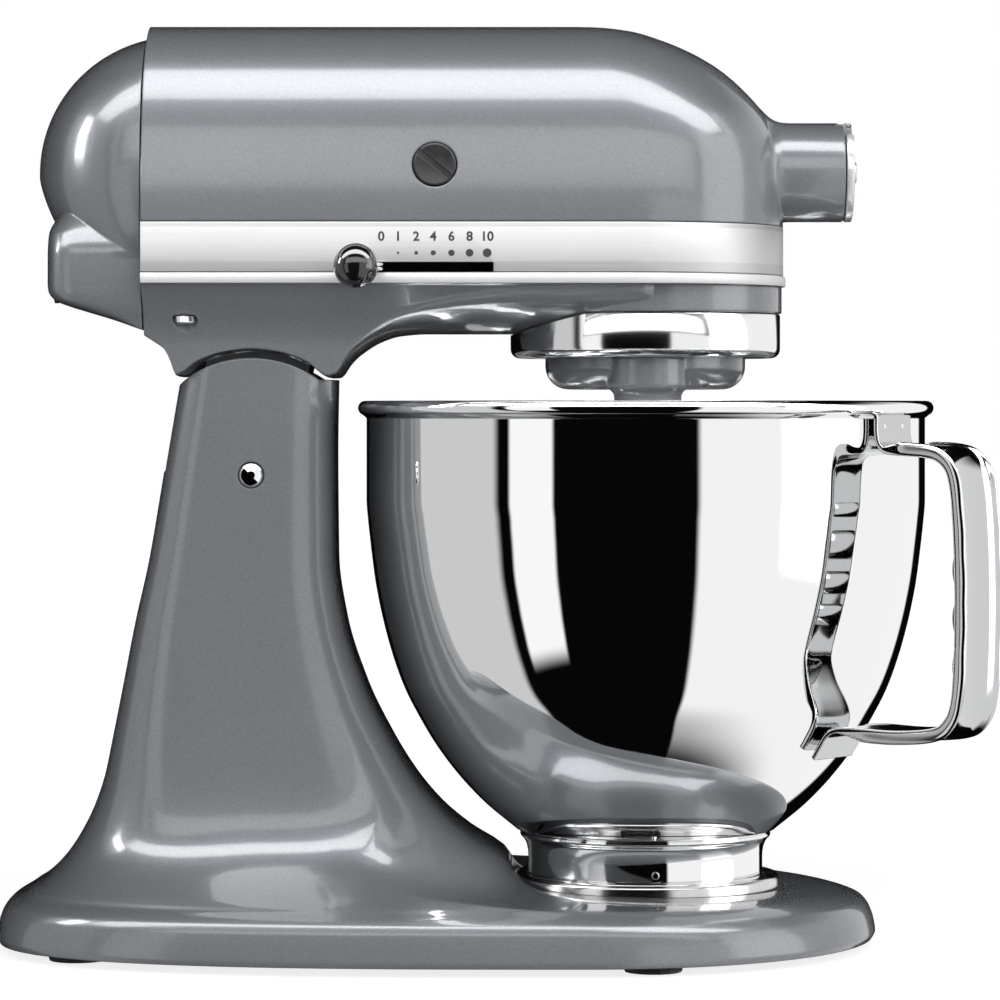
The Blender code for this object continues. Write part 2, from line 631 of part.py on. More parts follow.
def cover_dome(shrink, front):
    """The upper part of the cover, as rings that lean back about its centre from the seam."""
    rings = []
    leans = [SEAM_LEAN] + [radians(a) for a in (22, 34, 47, 59, 70, 79, 87)]
    for number, lean in enumerate([SEAM_LEAN] + leans):
        x = COVER_CENTRE_X - (COVER_LENGTH - shrink) * sin(lean) if number else front
        ring = []
        for k in range(18):
            angle = 2 * pi * k / 18
            height = (54.3 - shrink) * cos(lean) if sin(angle) > 0 else (57.0 - shrink) * cos(lean) ** 1.5
            y = (60.0 - shrink) * cos(lean) * power(cos(angle), 2 / DOME_POWER)
            ring.append((x, y, 297.0 + height * power(sin(angle), 2 / DOME_POWER)))
        rings.append(ring)
    return loft(rings if front > COVER_X else rings[1:])


# height, rear reach, half width
CHIN_STATIONS = (
    (237.2, -193.0, 45.0),
    (241.0, -204.0, 47.0),
    (243.4, -212.0, 48.5),
    (246.5, -222.0, 50.0),
    (248.5, -226.5, 50.5),
    (251.5, -228.8, 51.0),
    (254.5, -229.2, 51.0),
    (266.0, -229.2, 50.5),
    (273.0, -229.0, 47.5),
    (280.0, -226.0, 42.0),
    (287.0, -219.0, 35.0),
)


def cover_chin(shrink, front):
    rings = []
    for z, rear, half_width in CHIN_STATIONS:
        length = rear - COVER_X + shrink
        if not shrink or length < -6:
            rings.append(horseshoe(front, COVER_X, length, half_width - shrink, z + 0.8 * shrink, 6.0, 12))
    return loft(rings)


piece(
    "rear_cover",
    head,
    PAINT,
    cover_dome(0, COVER_X),
    ("add", cover_chin(0, COVER_X)),
    ("cut", cover_dome(WALL, COVER_X + 8)),
    ("cut", cover_chin(WALL, COVER_X + 8)),
    ("cut", rod("X", -250, -220, 7.2, (0, 0, GROMMET_Z), 20)),
    ("cut", rod("X", -250, -227.4, 8.4, (0, 0, GROMMET_Z), 20)),
    ("cut", rod("X", -250, -232.5, 4.6, (0, 0, COVER_SCREW_Z), 16)),
    ("cut", rod("X", -250, -220, 2.6, (0, 0, COVER_SCREW_Z), 12)),
)
grommet_steps = [(6.8, -222), (6.8, -227.7), (8.0, -227.71), (8.0, -229.2), (6.4, -229.5)]
piece("cord_grommet", head, RUBBER, stepped("X", grommet_steps, (0, 0, GROMMET_Z), 20))
cover_screw = [(2.1, -222), (2.1, -232.8), (4.0, -232.81), (4.0, -234.0), (2.8, -234.5)]
piece("rear_cover_screw", head, CHROME, stepped("X", cover_screw, (0, 0, COVER_SCREW_Z), 14))


# Motor and its brushes

for name, side in (("near", -1), ("far", 1)):
    point = (BRUSH_X, 0, MOTOR_Z)
    cap = [(8.1, side * 54.5), (8.1, side * 59.4), (7.4, side * 60.0)]
    slot_tool = box((-9, -1.1, -1), (9, 1.1, 1))
    slot_points = []
    for x, height, y in slot_tool[0]:
        lean = radians(-39)
        across = x * cos(lean) - height * sin(lean)
        up = x * sin(lean) + height * cos(lean)
        slot_points.append((BRUSH_X + across, side * 60.0 + y, MOTOR_Z + up))
    piece(f"brush_cap_{name}", head, DARK, stepped("Y", cap, point, 24), ("cut", (slot_points, slot_tool[1])))
    holder = [(3.2, side * 14.5), (5.2, side * 14.5), (5.2, side * 54.0), (3.2, side * 54.0)]
    piece(f"brush_holder_{name}", head, BRASS, turned("Y", holder, point, 12))
    piece(f"carbon_brush_{name}", head, CARBON, rod("Y", side * 12.6, side * 36, 2.8, point, 10))

stator = [(23.6, -162), (45, -162), (45, -112), (23.6, -112)]
piece("motor_stator", head, STEEL, turned("X", stator, APEX, 28))
bracket = [(4.5, -69), (12, -69), (12, -67), (50, -67), (50, -64), (4.5, -64)]
bracket_floor = box((-80, -60, 230), (-60, 60, 262))
piece("front_bearing_bracket", head, ALUMINIUM, turned("X", bracket, APEX, 24), ("cut", bracket_floor))
rear_bracket = [(4.5, -189.5), (9, -189.5), (9, -186.5), (44, -186.5), (44, -183.5), (4.5, -183.5)]
piece("rear_bearing_bracket", head, ALUMINIUM, turned("X", rear_bracket, APEX, 24))

worm_pitch = pi * WORM_MODULE


def worm_ring(x, count=14):
    ring = []
    for k in range(count):
        angle = 2 * pi * k / count
        wave = cos(2 * pi * (x - WHEEL_X) / worm_pitch + pi - WORM_STARTS * angle)
        radius = WORM_RADIUS - 0.1 + 0.9 * max(-1.0, min(1.0, 2.0 * wave - 0.5))
        ring.append((x, radius * cos(angle), MOTOR_Z + radius * sin(angle)))
    return ring


worm_steps = 25
worm_from, worm_to = WHEEL_X - 10, WHEEL_X + 10
worm = [worm_ring(worm_from + (worm_to - worm_from) * k / worm_steps) for k in range(worm_steps + 1)]
worm_ends = (circle("X", worm_from - 0.5, 5.4, APEX, 14), circle("X", worm_to + 0.5, 5.0, APEX, 14))
piece("armature_shaft", armature, STEEL, rod("X", -195, worm_from - 1.0, 4.0, APEX, 16))
piece("worm", armature, STEEL, loft([worm_ends[0], *worm, worm_ends[1]]))
core = [(4.4, -160), (22.3, -160), (22.3, -114), (4.4, -114)]
piece("armature_core", armature, COPPER, turned("X", core, APEX, 24))
commutator = [(4.4, -91), (12.0, -91), (12.0, -71), (4.4, -71)]
piece("commutator", armature, COPPER, turned("X", commutator, APEX, 24))


def fan_outline(blades=9):
    outline = []
    for k in range(blades):
        start = 2 * pi * k / blades
        for radius, turn in ((12, 0.0), (34, 0.2), (36, 0.42), (12, 0.34)):
            angle = start + turn
            outline.append((radius * cos(angle), MOTOR_Z + radius * sin(angle)))
    return outline


fan_bore = rod("X", -190, -160, 4.4, APEX)
piece("cooling_fan", armature, ALUMINIUM, prism("X", fan_outline(), -178, -168), ("cut", fan_bore))


# Gear train

mesh_line = atan2(WHEEL_Y, WHEEL_X)
twist = WORM_STARTS * WORM_MODULE / (2 * WORM_RADIUS) / WHEEL_RADIUS
wheel_rings = []
for z in (-4.0, 0.0, 4.0):
    outline = toothed(WHEEL_TEETH, WORM_MODULE, -pi / 2 + twist * z, (WHEEL_X, WHEEL_Y), tip=0.65, share=0.34)
    wheel_rings.append([(x, y, MOTOR_Z + z) for x, y in outline])
wheel_centre = (WHEEL_X, WHEEL_Y, 0)
piece("worm_wheel", wheel, BRASS, loft(wheel_rings), ("cut", rod("Z", 280, 320, 4.4, wheel_centre)))
pinion = toothed(PINION_TEETH, SPUR_MODULE, mesh_line + pi, (WHEEL_X, WHEEL_Y))
wheel_shaft = rod("Z", 248.3, 309, 4.0, wheel_centre, 16)
piece("pinion_shaft", wheel, STEEL, prism("Z", pinion, *GEAR_Z), ("add", wheel_shaft))

centre = toothed(CENTRE_TEETH, SPUR_MODULE, mesh_line + pi / CENTRE_TEETH, (0, 0))
centre_bore = rod("Z", 240, 270, 6.4, count=20)
piece("centre_gear", planetary, STEEL, prism("Z", centre, *GEAR_Z), ("cut", centre_bore))
bevel_large, bevel_small = bevel_rings("Z", APEX, BEVEL_TEETH, BEVEL_RADIUS, 4.0, 0.0, -1)
count = BEVEL_TEETH * 4
shaft_rings = [circle("Z", z, radius, count=count) for radius, z in ((6.0, 233), (6.0, 262), (5.0, 262.1))]
shaft_rings += [circle("Z", MOTOR_Z - 15.5, 5.0, count=count), bevel_large, bevel_small]
shaft_rings.append(circle("Z", MOTOR_Z - 9.0, 3.0, count=count))
piece("planetary_shaft", planetary, STEEL, loft(shaft_rings))

hub_large, hub_small = bevel_rings("X", APEX, BEVEL_TEETH, BEVEL_RADIUS, 4.0, pi / BEVEL_TEETH - pi / 2, 1)
drive_rings = [circle("X", 9.0, 3.0, APEX, count), hub_small, hub_large, circle("X", 15.5, 5.0, APEX, count)]
drive_rings += [circle("X", along, radius, APEX, count) for radius, along in ((5, 34), (8.8, 38), (8.8, 74))]
square = box((44, -5.6, MOTOR_Z - 5.6), (90, 5.6, MOTOR_Z + 5.6))
piece("hub_drive", hub_drive, STEEL, loft(drive_rings), ("cut", square))

ring_hole = toothed(RING_TEETH, SPUR_MODULE, -pi / 2, (0, 0), tip=1.15, root=0.9, share=0.58)
ring_blank = rod("Z", 232.0, 240.5, 48.6, count=40)
piece("ring_gear", head, STEEL, ring_blank, ("cut", prism("Z", ring_hole, 225, 250)))
drip = ((49.3, FRONT_BOTTOM - 0.4), (52.3, FRONT_BOTTOM - 0.4), (52.3, 230), (51.2, 227.6), (48.6, 226.7))
drip += ((44.5, 226.7), (44.5, 228.3), (48.4, 228.5), (49.3, 229.6))
piece("drip_ring", head, CHROME, turned("Z", drip, count=32), ("cut", arm_shape(0.5)))

hub_profile = [(14, 229.5), (37, 229.5), (38.8, 228), (38.8, 223.5), (36.5, 217.5), (30, 214.6), (12, 214.6)]
boss_point = (0, -PLANET_OFFSET, 0)
piece(
    "planetary_hub",
    planetary,
    PAINT,
    stepped("Z", list(reversed(hub_profile)), count=28),
    ("add", stepped("Z", [(10.8, 204), (12.8, 206), (12.8, 227)], boss_point, 20)),
    ("cut", rod("Z", 200, 232, 6.0, boss_point, 16)),
    ("cut", rod("Z", 210, 232, 6.35, count=16)),
)
planet = toothed(PLANET_TEETH, SPUR_MODULE, -pi / 2, boss_point[:2])
planet_bore = rod("Z", 225, 245, 4.4, boss_point, 12)
piece("planet_pinion", beater, STEEL, prism("Z", planet, 232.5, 239.5), ("cut", planet_bore))
beater_steps = [(5.6, 172), (5.6, 231.8), (4.0, 231.9), (4.0, 241.5)]
beater_pin = rod("X", -9, 9, 1.6, (0, -PLANET_OFFSET, 196), 10)
piece("beater_shaft", beater, STEEL, stepped("Z", beater_steps, boss_point, 16), ("add", beater_pin))


# Flat beater: a leaf-shaped frame with a hub on the beater shaft

LEAF = ((50.0, 17), (54, 24), (61, 33), (75, 43.5), (95, 49), (120, 48), (145, 40.5), (160, 29), (166, 12))
leaf = [(half, z) for z, half in LEAF] + [(-half, z) for z, half in reversed(LEAF)]
windows = [
    [(4.5, 58), (30, 64), (38, 76), (41, 92), (4.5, 84)],
    [(4.5, 93), (41, 101), (40, 120), (34, 140), (25, 152), (4.5, 158)],
]
beater_cuts = []
for window in windows:
    for side in (-1, 1):
        outline = [(side * x, z) for x, z in window]
        beater_cuts.append(("cut", prism("Y", outline, -PLANET_OFFSET - 10, -PLANET_OFFSET + 10)))
beater_cuts.append(("add", stepped("Z", [(9.0, 155), (9.0, 201)], boss_point, 16)))
beater_cuts.append(("cut", rod("Z", 170, 210, 6.0, boss_point, 16)))
beater_cuts.append(("cut", box((-12, -PLANET_OFFSET - 2.2, 193.5), (12, -PLANET_OFFSET + 2.2, 210))))
leaf_low, leaf_high = -PLANET_OFFSET - 4.0, -PLANET_OFFSET + 4.0
piece("flat_beater", beater, ALUMINIUM, prism("Y", leaf, leaf_low, leaf_high), *beater_cuts)


# Speed lever and the plate it slides on

knob_centre = Vector((LEVER_X - 8.9, -76.0, LEVER_Z))
lever_path = [Vector((LEVER_X, y, LEVER_Z)) for y in (-44.5, -62.5)]
lever_path += [Vector((LEVER_X - 1.5, -67.0, LEVER_Z)), Vector((LEVER_X - 5.5, -72.0, LEVER_Z))]


def bent_rod(path, radius, count=10):
    """A round rod along a path in a horizontal plane."""
    rings = []
    for k, point in enumerate(path):
        heading = path[min(k + 1, len(path) - 1)] - path[max(k - 1, 0)]
        across = Vector((-heading.y, heading.x, 0)).normalized()
        turns = [2 * pi * j / count for j in range(count)]
        rings.append([tuple(point + across * radius * cos(a) + Vector((0, 0, radius * sin(a)))) for a in turns])
    return loft(rings)


piece("speed_lever", speed, CHROME, bent_rod(lever_path, 1.5))


def ball(centre, radius, rows=7, count=12):
    steps = [(radius * sin(pi * k / rows), -radius * cos(pi * k / rows)) for k in range(rows + 1)]
    steps[0] = (0.3, steps[0][1])
    steps[-1] = (0.3, steps[-1][1])
    return stepped("Z", steps, centre, count)


stem_hole = bent_rod([lever_path[-2], lever_path[-1] + (lever_path[-1] - lever_path[-2]) * 0.4], 1.9)
piece("speed_knob", speed, BLACK, ball(knob_centre, 8.45), ("cut", stem_hole))
guide = box((LEVER_X - 12, -48.5, 254.0), (LEVER_X + LEVER_TRAVEL + 12, -46.5, 266.5))
guide_slot = box((LEVER_X - 2.6, -60, LEVER_Z - 2), (LEVER_X + LEVER_TRAVEL + 2.6, -45, LEVER_Z + 2))
piece("speed_control_plate", head, DARK, guide, ("cut", guide_slot))


# Bowl, its foot and its handle
# radius and height down the outside of the wall

BOWL_OUTSIDE = (
    (BOWL_RADIUS, 203.5),
    (BOWL_RADIUS, 172.0),
    (107.0, 156.0),
    (102.6, 130.0),
    (98.6, 113.0),
    (93.2, 98.0),
    (87.0, 86.5),
    (79.6, 74.8),
    (70.0, 63.0),
    (59.5, 52.8),
    (50.1, 45.5),
    (44.0, 42.0),
    (38.0, 40.8),
    (14.0, 40.8),
)


def bowl_rings(count=30):
    outside, inside = [], []
    for k, (radius, z) in enumerate(BOWL_OUTSIDE):
        before, after = BOWL_OUTSIDE[max(k - 1, 0)], BOWL_OUTSIDE[min(k + 1, len(BOWL_OUTSIDE) - 1)]
        run, rise = after[0] - before[0], after[1] - before[1]
        length = hypot(run, rise)
        outside.append((radius, z))
        inside.append((radius + rise / length * BOWL_WALL, z - run / length * BOWL_WALL))
    middle, roll = RIM_RADIUS - 2.8, 2.8
    rim = [(middle + roll * cos(a), BOWL_TOP - roll + roll * sin(a)) for a in (-1.0, 0, 0.8, 1.57, 2.5)]
    profile = [*reversed(outside), *rim, *inside]
    return [circle("Z", z, radius, count=count) for radius, z in profile]


piece("mixing_bowl", bowl, CHROME, loft(bowl_rings()))

foot_profile = (
    (FOOT_RADIUS - 1.5, PLATE_Z + 1.9),
    (FOOT_RADIUS, PLATE_Z + 1.9),
    (FOOT_RADIUS, 36.5),
    (46.6, 40.0),
    (48.2, 42.2),
    (47.0, 42.9),
    (44.6, 41.2),
    (FOOT_RADIUS - 1.5, 37.0),
)
foot_steps = []
for angle in GAP_ANGLES:
    lug = box((FOOT_RADIUS - 1.0, -6, 23.2), (FOOT_RADIUS + 1.2, 6, 25.4))
    foot_steps.append(("add", turned_about_z(lug, angle - radians(25))))
piece("bowl_foot", bowl, CHROME, turned("Z", foot_profile, count=32), *foot_steps)

# The strap's middle line as (distance from the bowl's axis, height)
HANDLE_PATH = (
    (110.1, 203.8),
    (110.1, 197.5),
    (111.6, 193.4),
    (115.5, 191.3),
    (131.5, 190.3),
    (138.6, 187.6),
    (142.4, 181.0),
    (144.3, 165.0),
    (145.2, 140.0),
    (144.8, 115.0),
    (143.5, 99.0),
    (140.2, 91.5),
    (134.0, 88.0),
    (118.0, 86.5),
    (100.0, 87.0),
    (93.0, 86.6),
    (89.4, 84.6),
    (86.6, 80.4),
    (83.6, 75.6),
)
STRAP_HALF_WIDTH, STRAP_HALF_THICKNESS = 14.5, 1.2


def strap_rings():
    rings = []
    for k, (reach, z) in enumerate(HANDLE_PATH):
        before, after = HANDLE_PATH[max(k - 1, 0)], HANDLE_PATH[min(k + 1, len(HANDLE_PATH) - 1)]
        run, rise = after[0] - before[0], after[1] - before[1]
        length = hypot(run, rise)
        out_reach, out_z = -rise / length * STRAP_HALF_THICKNESS, run / length * STRAP_HALF_THICKNESS
        ring = []
        for side, face in ((-1, -1), (1, -1), (1, 1), (-1, 1)):
            ring.append((reach + face * out_reach, side * STRAP_HALF_WIDTH, z + face * out_z))
        rings.append(ring)
    return rings


piece("bowl_handle", bowl, CHROME, turned_about_z(loft(strap_rings()), HANDLE_DIRECTION))
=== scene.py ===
"""Looks of the tilt-head stand mixer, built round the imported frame.

Lengths are millimetres with X measured from the bowl's axis, as in the CAD, until mesh_of turns
them into metres in the row frame.
"""

import json
from math import asin, cos, hypot, pi, radians, sin, sqrt

import bmesh
import bpy
from mathutils import Matrix, Vector


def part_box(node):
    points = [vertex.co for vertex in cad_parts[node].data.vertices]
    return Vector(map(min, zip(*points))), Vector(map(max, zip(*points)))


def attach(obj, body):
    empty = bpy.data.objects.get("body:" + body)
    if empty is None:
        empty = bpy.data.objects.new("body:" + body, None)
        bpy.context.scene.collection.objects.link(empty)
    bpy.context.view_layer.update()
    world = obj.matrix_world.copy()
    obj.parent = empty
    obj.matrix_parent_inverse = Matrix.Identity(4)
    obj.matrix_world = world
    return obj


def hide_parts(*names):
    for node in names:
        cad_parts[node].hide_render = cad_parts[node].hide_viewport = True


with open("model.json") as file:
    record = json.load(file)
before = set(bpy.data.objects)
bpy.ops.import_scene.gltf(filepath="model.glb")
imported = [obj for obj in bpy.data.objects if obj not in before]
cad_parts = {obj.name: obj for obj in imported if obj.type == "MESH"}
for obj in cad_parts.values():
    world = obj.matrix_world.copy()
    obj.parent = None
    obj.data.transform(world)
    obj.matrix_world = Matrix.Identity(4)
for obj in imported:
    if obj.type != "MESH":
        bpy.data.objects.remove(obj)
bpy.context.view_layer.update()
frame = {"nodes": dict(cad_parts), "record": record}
scene = bpy.context.scene

MM = 0.001
PLATE_LOW, PLATE_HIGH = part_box("bowl_clamp_plate")
BOWL_AXIS_X = (PLATE_LOW.x + PLATE_HIGH.x) / 2 / MM

# Camera and surroundings

camera = bpy.data.objects.new("camera", bpy.data.cameras.new("camera"))
scene.collection.objects.link(camera)
scene.camera = camera
camera.location = (0.00375, -1.69, 0.2078)
camera.rotation_euler = (radians(90), 0, 0)
camera.data.lens = 156.6
camera.data.sensor_width = 36
camera.data.shift_y = -0.093
camera.data.clip_start = 0.1
camera.data.clip_end = 50
scene.view_settings.view_transform = "Standard"


class Nodes:
    """A short way to add linked shader nodes."""

    def __init__(self, tree):
        self.tree = tree

    def add(self, kind, inputs=None, **settings):
        node = self.tree.nodes.new(kind)
        for name, value in settings.items():
            setattr(node, name, value)
        for name, value in (inputs or {}).items():
            self.put(node.inputs[name], value)
        return node

    def put(self, socket, value):
        if isinstance(value, bpy.types.NodeSocket):
            self.tree.links.new(value, socket)
        else:
            socket.default_value = value

    def math(self, operation, *values):
        return self.add("ShaderNodeMath", dict(enumerate(values)), operation=operation).outputs[0]

    def ramp(self, value, low, high, start=0.0, end=1.0, smooth=False):
        kind = "SMOOTHSTEP" if smooth else "LINEAR"
        inputs = {"Value": value, "From Min": low, "From Max": high, "To Min": start, "To Max": end}
        return self.add("ShaderNodeMapRange", inputs, interpolation_type=kind).outputs[0]

    def shaded(self, colour, shade):
        """The colour multiplied by a grey value."""
        grey = self.add("ShaderNodeCombineColor", {0: shade, 1: shade, 2: shade}).outputs[0]
        inputs = {0: 1.0, 6: colour, 7: grey}
        return self.add("ShaderNodeMix", inputs, data_type="RGBA", blend_type="MULTIPLY").outputs[2]

    def bump(self, height, strength, distance, normal):
        inputs = {"Height": height, "Strength": strength, "Distance": distance, "Normal": normal}
        return self.add("ShaderNodeBump", inputs).outputs[0]


# Light panels round the mixer, which show in glossy surfaces: azimuth from the camera's side
# towards the hub, elevation, strength, and how soft the sides and ends are; angles in degrees
PANELS = (
    ((20, 150), (-60, 32), 0.95, (1.5, 12)),
    ((57, 93), (-12, 42), 2.2, (3, 4)),
    ((-58.6, -39.5), (-33, 40), 1.0, (1, 3)),
    ((-112, -65), (-60, 38), 0.62, (2, 12)),
)
AMBIENT = 0.002
# What lights the matt share of the surfaces: a soft source above the camera, and a fill from
# the opposite side that only reaches the mixer's far side
KEY_DIRECTION = (0.05, -0.97, 0.24)
KEY_STRENGTH = 2.45
REAR_FILL = 2.0
# The floor's own glow, for the light that it returns and as the camera sees it
FLOOR_GLOW, FLOOR_SEEN = 0.12, 0.8
# Soft boxes near the mixer: middle, half sizes, which axis they face along, strength, soft share
SOFT_BOXES = (
    ("front", (0.0, -0.41, 0.46), (0.6, 0.125), "Y", 2.3, 0.3),
    ("overhead", (-0.05, -0.185, 0.62), (0.75, 0.1), "Z", 9.5, 0.25),
    ("rear_left", (-0.62, -0.03, 0.45), (0.06, 0.13), "X", 18.0, 0.4),
)


def make_world():
    world = bpy.data.worlds.new("studio")
    scene.world = world
    world.use_nodes = True
    n = Nodes(world.node_tree)
    world.node_tree.nodes.clear()
    direction = n.add("ShaderNodeTexCoord").outputs["Generated"]
    split = n.add("ShaderNodeSeparateXYZ", {0: direction}).outputs
    away = n.math("MULTIPLY", split[1], -1.0)
    degree = 180 / pi
    azimuth = n.math("MULTIPLY", n.math("ARCTAN2", split[0], away), degree)
    elevation = n.math("MULTIPLY", n.math("ARCSINE", split[2]), degree)
    total = AMBIENT
    for (left, right), (low, high), strength, (soft_side, soft_end) in PANELS:
        sides = n.math(
            "MULTIPLY",
            n.ramp(azimuth, left - soft_side, left + soft_side, smooth=True),
            n.ramp(azimuth, right - soft_side, right + soft_side, 1.0, 0.0, smooth=True),
        )
        ends = n.math(
            "MULTIPLY",
            n.ramp(elevation, low - soft_end, low + soft_end, smooth=True),
            n.ramp(elevation, high - soft_end, high + soft_end, 1.0, 0.0, smooth=True),
        )
        total = n.math("ADD", total, n.math("MULTIPLY", n.math("MULTIPLY", sides, ends), strength))
    toward = n.add("ShaderNodeVectorMath", {0: direction, 1: KEY_DIRECTION}, operation="DOT_PRODUCT")
    toward = toward.outputs["Value"]
    key = n.ramp(toward, 0.45, 1.0, 0.02, KEY_STRENGTH, smooth=True)
    key = n.math("ADD", key, n.ramp(toward, -1.0, -0.6, REAR_FILL, 0.0, smooth=True))
    path = n.add("ShaderNodeLightPath").outputs
    strength = n.add("ShaderNodeMix", {0: path["Is Diffuse Ray"], 2: total, 3: key}).outputs[0]
    strength = n.add("ShaderNodeMix", {0: path["Is Camera Ray"], 2: strength, 3: 1.0}).outputs[0]
    studio = n.add("ShaderNodeBackground", {"Color": (1, 1, 1, 1), "Strength": strength})
    n.add("ShaderNodeOutputWorld", {"Surface": studio.outputs[0]})


make_world()


def soft_box(name, middle, half_sizes, facing, strength, soft):
    """A light that shows in glossy surfaces only; its strength fades out towards its edges."""
    a, b = half_sizes
    corners = [(-a, -b), (a, -b), (a, b), (-a, b)]
    axes = {"X": (1, 2), "Y": (0, 2), "Z": (0, 1)}[facing]
    points = []
    for corner in corners:
        point = [0.0, 0.0, 0.0]
        point[axes[0]], point[axes[1]] = corner
        points.append(point)
    mesh = bpy.data.meshes.new("soft_box_" + name)
    mesh.from_pydata(points, [], [(0, 1, 2, 3)])
    made = bpy.data.objects.new("soft_box_" + name, mesh)
    scene.collection.objects.link(made)
    made.location = middle
    glow = bpy.data.materials.new("glow_" + name)
    glow.use_nodes = True
    n = Nodes(glow.node_tree)
    glow.node_tree.nodes.clear()
    split = n.add("ShaderNodeSeparateXYZ", {0: n.add("ShaderNodeTexCoord").outputs["Object"]}).outputs
    total = strength
    for axis, half in zip(axes, half_sizes):
        edge = n.ramp(n.math("ABSOLUTE", split[axis]), half * (1 - soft), half, 1.0, 0.0, smooth=True)
        total = n.math("MULTIPLY", edge, total)
    light = n.add("ShaderNodeEmission", {"Color": (1, 1, 1, 1), "Strength": total})
    n.add("ShaderNodeOutputMaterial", {"Surface": light.outputs[0]})
    mesh.materials.append(glow)
    made.visible_camera = made.visible_diffuse = made.visible_shadow = False


for soft_box_settings in SOFT_BOXES:
    soft_box(*soft_box_settings)

# Materials


def new_material(name):
    made = bpy.data.materials.new(name)
    made.use_nodes = True
    return made, Nodes(made.node_tree), made.node_tree.nodes["Principled BSDF"]


def place(n):
    return n.add("ShaderNodeTexCoord").outputs["Object"]


def noise(n, point, scale, detail=2.0, rough=0.5):
    inputs = {"Vector": point, "Scale": scale, "Detail": detail, "Roughness": rough}
    return n.add("ShaderNodeTexNoise", inputs).outputs["Fac"]


def rounded_normal(n, radius):
    return n.add("ShaderNodeBevel", {"Radius": radius * MM}, samples=6).outputs["Normal"]


def stretched(n, point, scale):
    return n.add("ShaderNodeMapping", {"Vector": point, "Scale": scale}).outputs[0]


def paint_material(name, colour, edge):
    """Metallic paint under a clear coat: fine flakes, and the coat's slight orange peel."""
    made, n, shader = new_material(name)
    point = place(n)
    flakes = n.add("ShaderNodeTexVoronoi", {"Vector": point, "Scale": 2600.0})
    grain = n.add("ShaderNodeSeparateColor", {0: flakes.outputs["Color"]}).outputs[0]
    cloud = noise(n, point, 18.0, 3.0)
    bright = n.ramp(grain, 0.0, 1.0, 0.9, 1.1)
    bright = n.math("MULTIPLY", bright, n.ramp(cloud, 0.3, 0.7, 0.98, 1.02))
    n.put(shader.inputs["Base Color"], n.shaded((*colour, 1), bright))
    shader.inputs["Metallic"].default_value = 0.2
    shader.inputs["Roughness"].default_value = 0.27
    shader.inputs["Coat Weight"].default_value = 1.0
    shader.inputs["Coat Roughness"].default_value = 0.045
    shader.inputs["Coat IOR"].default_value = 1.38
    shader.inputs["Specular IOR Level"].default_value = 0.12
    edge_normal = rounded_normal(n, edge)
    n.put(shader.inputs["Normal"], n.bump(grain, 0.07, 0.00006, edge_normal))
    n.put(shader.inputs["Coat Normal"], n.bump(noise(n, point, 260.0, 1.0), 0.05, 0.0004, edge_normal))
    return made


def metal_material(name, colour, roughness, lines=None, depth=0.1, edge=0.3):
    """A bare metal: lines gives the direction scale of its brushing or turning marks."""
    made, n, shader = new_material(name)
    point = place(n)
    shader.inputs["Metallic"].default_value = 1.0
    marks = noise(n, stretched(n, point, lines), 1.0, 4.0, 0.65) if lines else noise(n, point, 700.0, 2.0)
    cloud = noise(n, point, 22.0, 3.0)
    worn = n.ramp(marks, 0.25, 0.75, 1 - depth, 1.0)
    shade = n.math("MULTIPLY", worn, n.ramp(cloud, 0.3, 0.7, 0.97, 1.0))
    n.put(shader.inputs["Base Color"], n.shaded((*colour, 1), shade))
    n.put(shader.inputs["Roughness"], n.ramp(marks, 0.2, 0.8, roughness * 0.8, roughness * 1.25))
    n.put(shader.inputs["Normal"], n.bump(marks, depth, 0.00008, rounded_normal(n, edge)))
    return made


def polished_material(name, colour, roughness):
    """A polished metal with faint smears and a slight waviness."""
    made, n, shader = new_material(name)
    point = place(n)
    shader.inputs["Metallic"].default_value = 1.0
    smear = noise(n, point, 35.0, 4.0, 0.6)
    n.put(shader.inputs["Roughness"], n.ramp(smear, 0.35, 0.75, roughness, roughness + 0.035))
    tone = n.ramp(smear, 0.2, 0.8, 1.0, 0.985)
    n.put(shader.inputs["Base Color"], n.shaded((*colour, 1), tone))
    wave = noise(n, point, 30.0, 0.0)
    n.put(shader.inputs["Normal"], n.bump(wave, 0.03, 0.0005, rounded_normal(n, 0.35)))
    return made


def plastic_material(name, colour, roughness, grain=300.0, depth=0.05, coat=0.0):
    """A moulded plastic or rubber with a fine grain."""
    made, n, shader = new_material(name)
    point = place(n)
    speckle = noise(n, point, grain, 3.0)
    tone = n.ramp(speckle, 0.3, 0.7, 0.85, 1.15)
    n.put(shader.inputs["Base Color"], n.shaded((*colour, 1), tone))
    n.put(shader.inputs["Roughness"], n.ramp(speckle, 0.3, 0.7, roughness * 0.85, roughness * 1.15))
    shader.inputs["Coat Weight"].default_value = coat
    shader.inputs["Coat Roughness"].default_value = 0.03
    n.put(shader.inputs["Normal"], n.bump(speckle, depth, 0.0001, rounded_normal(n, 0.3)))
    return made


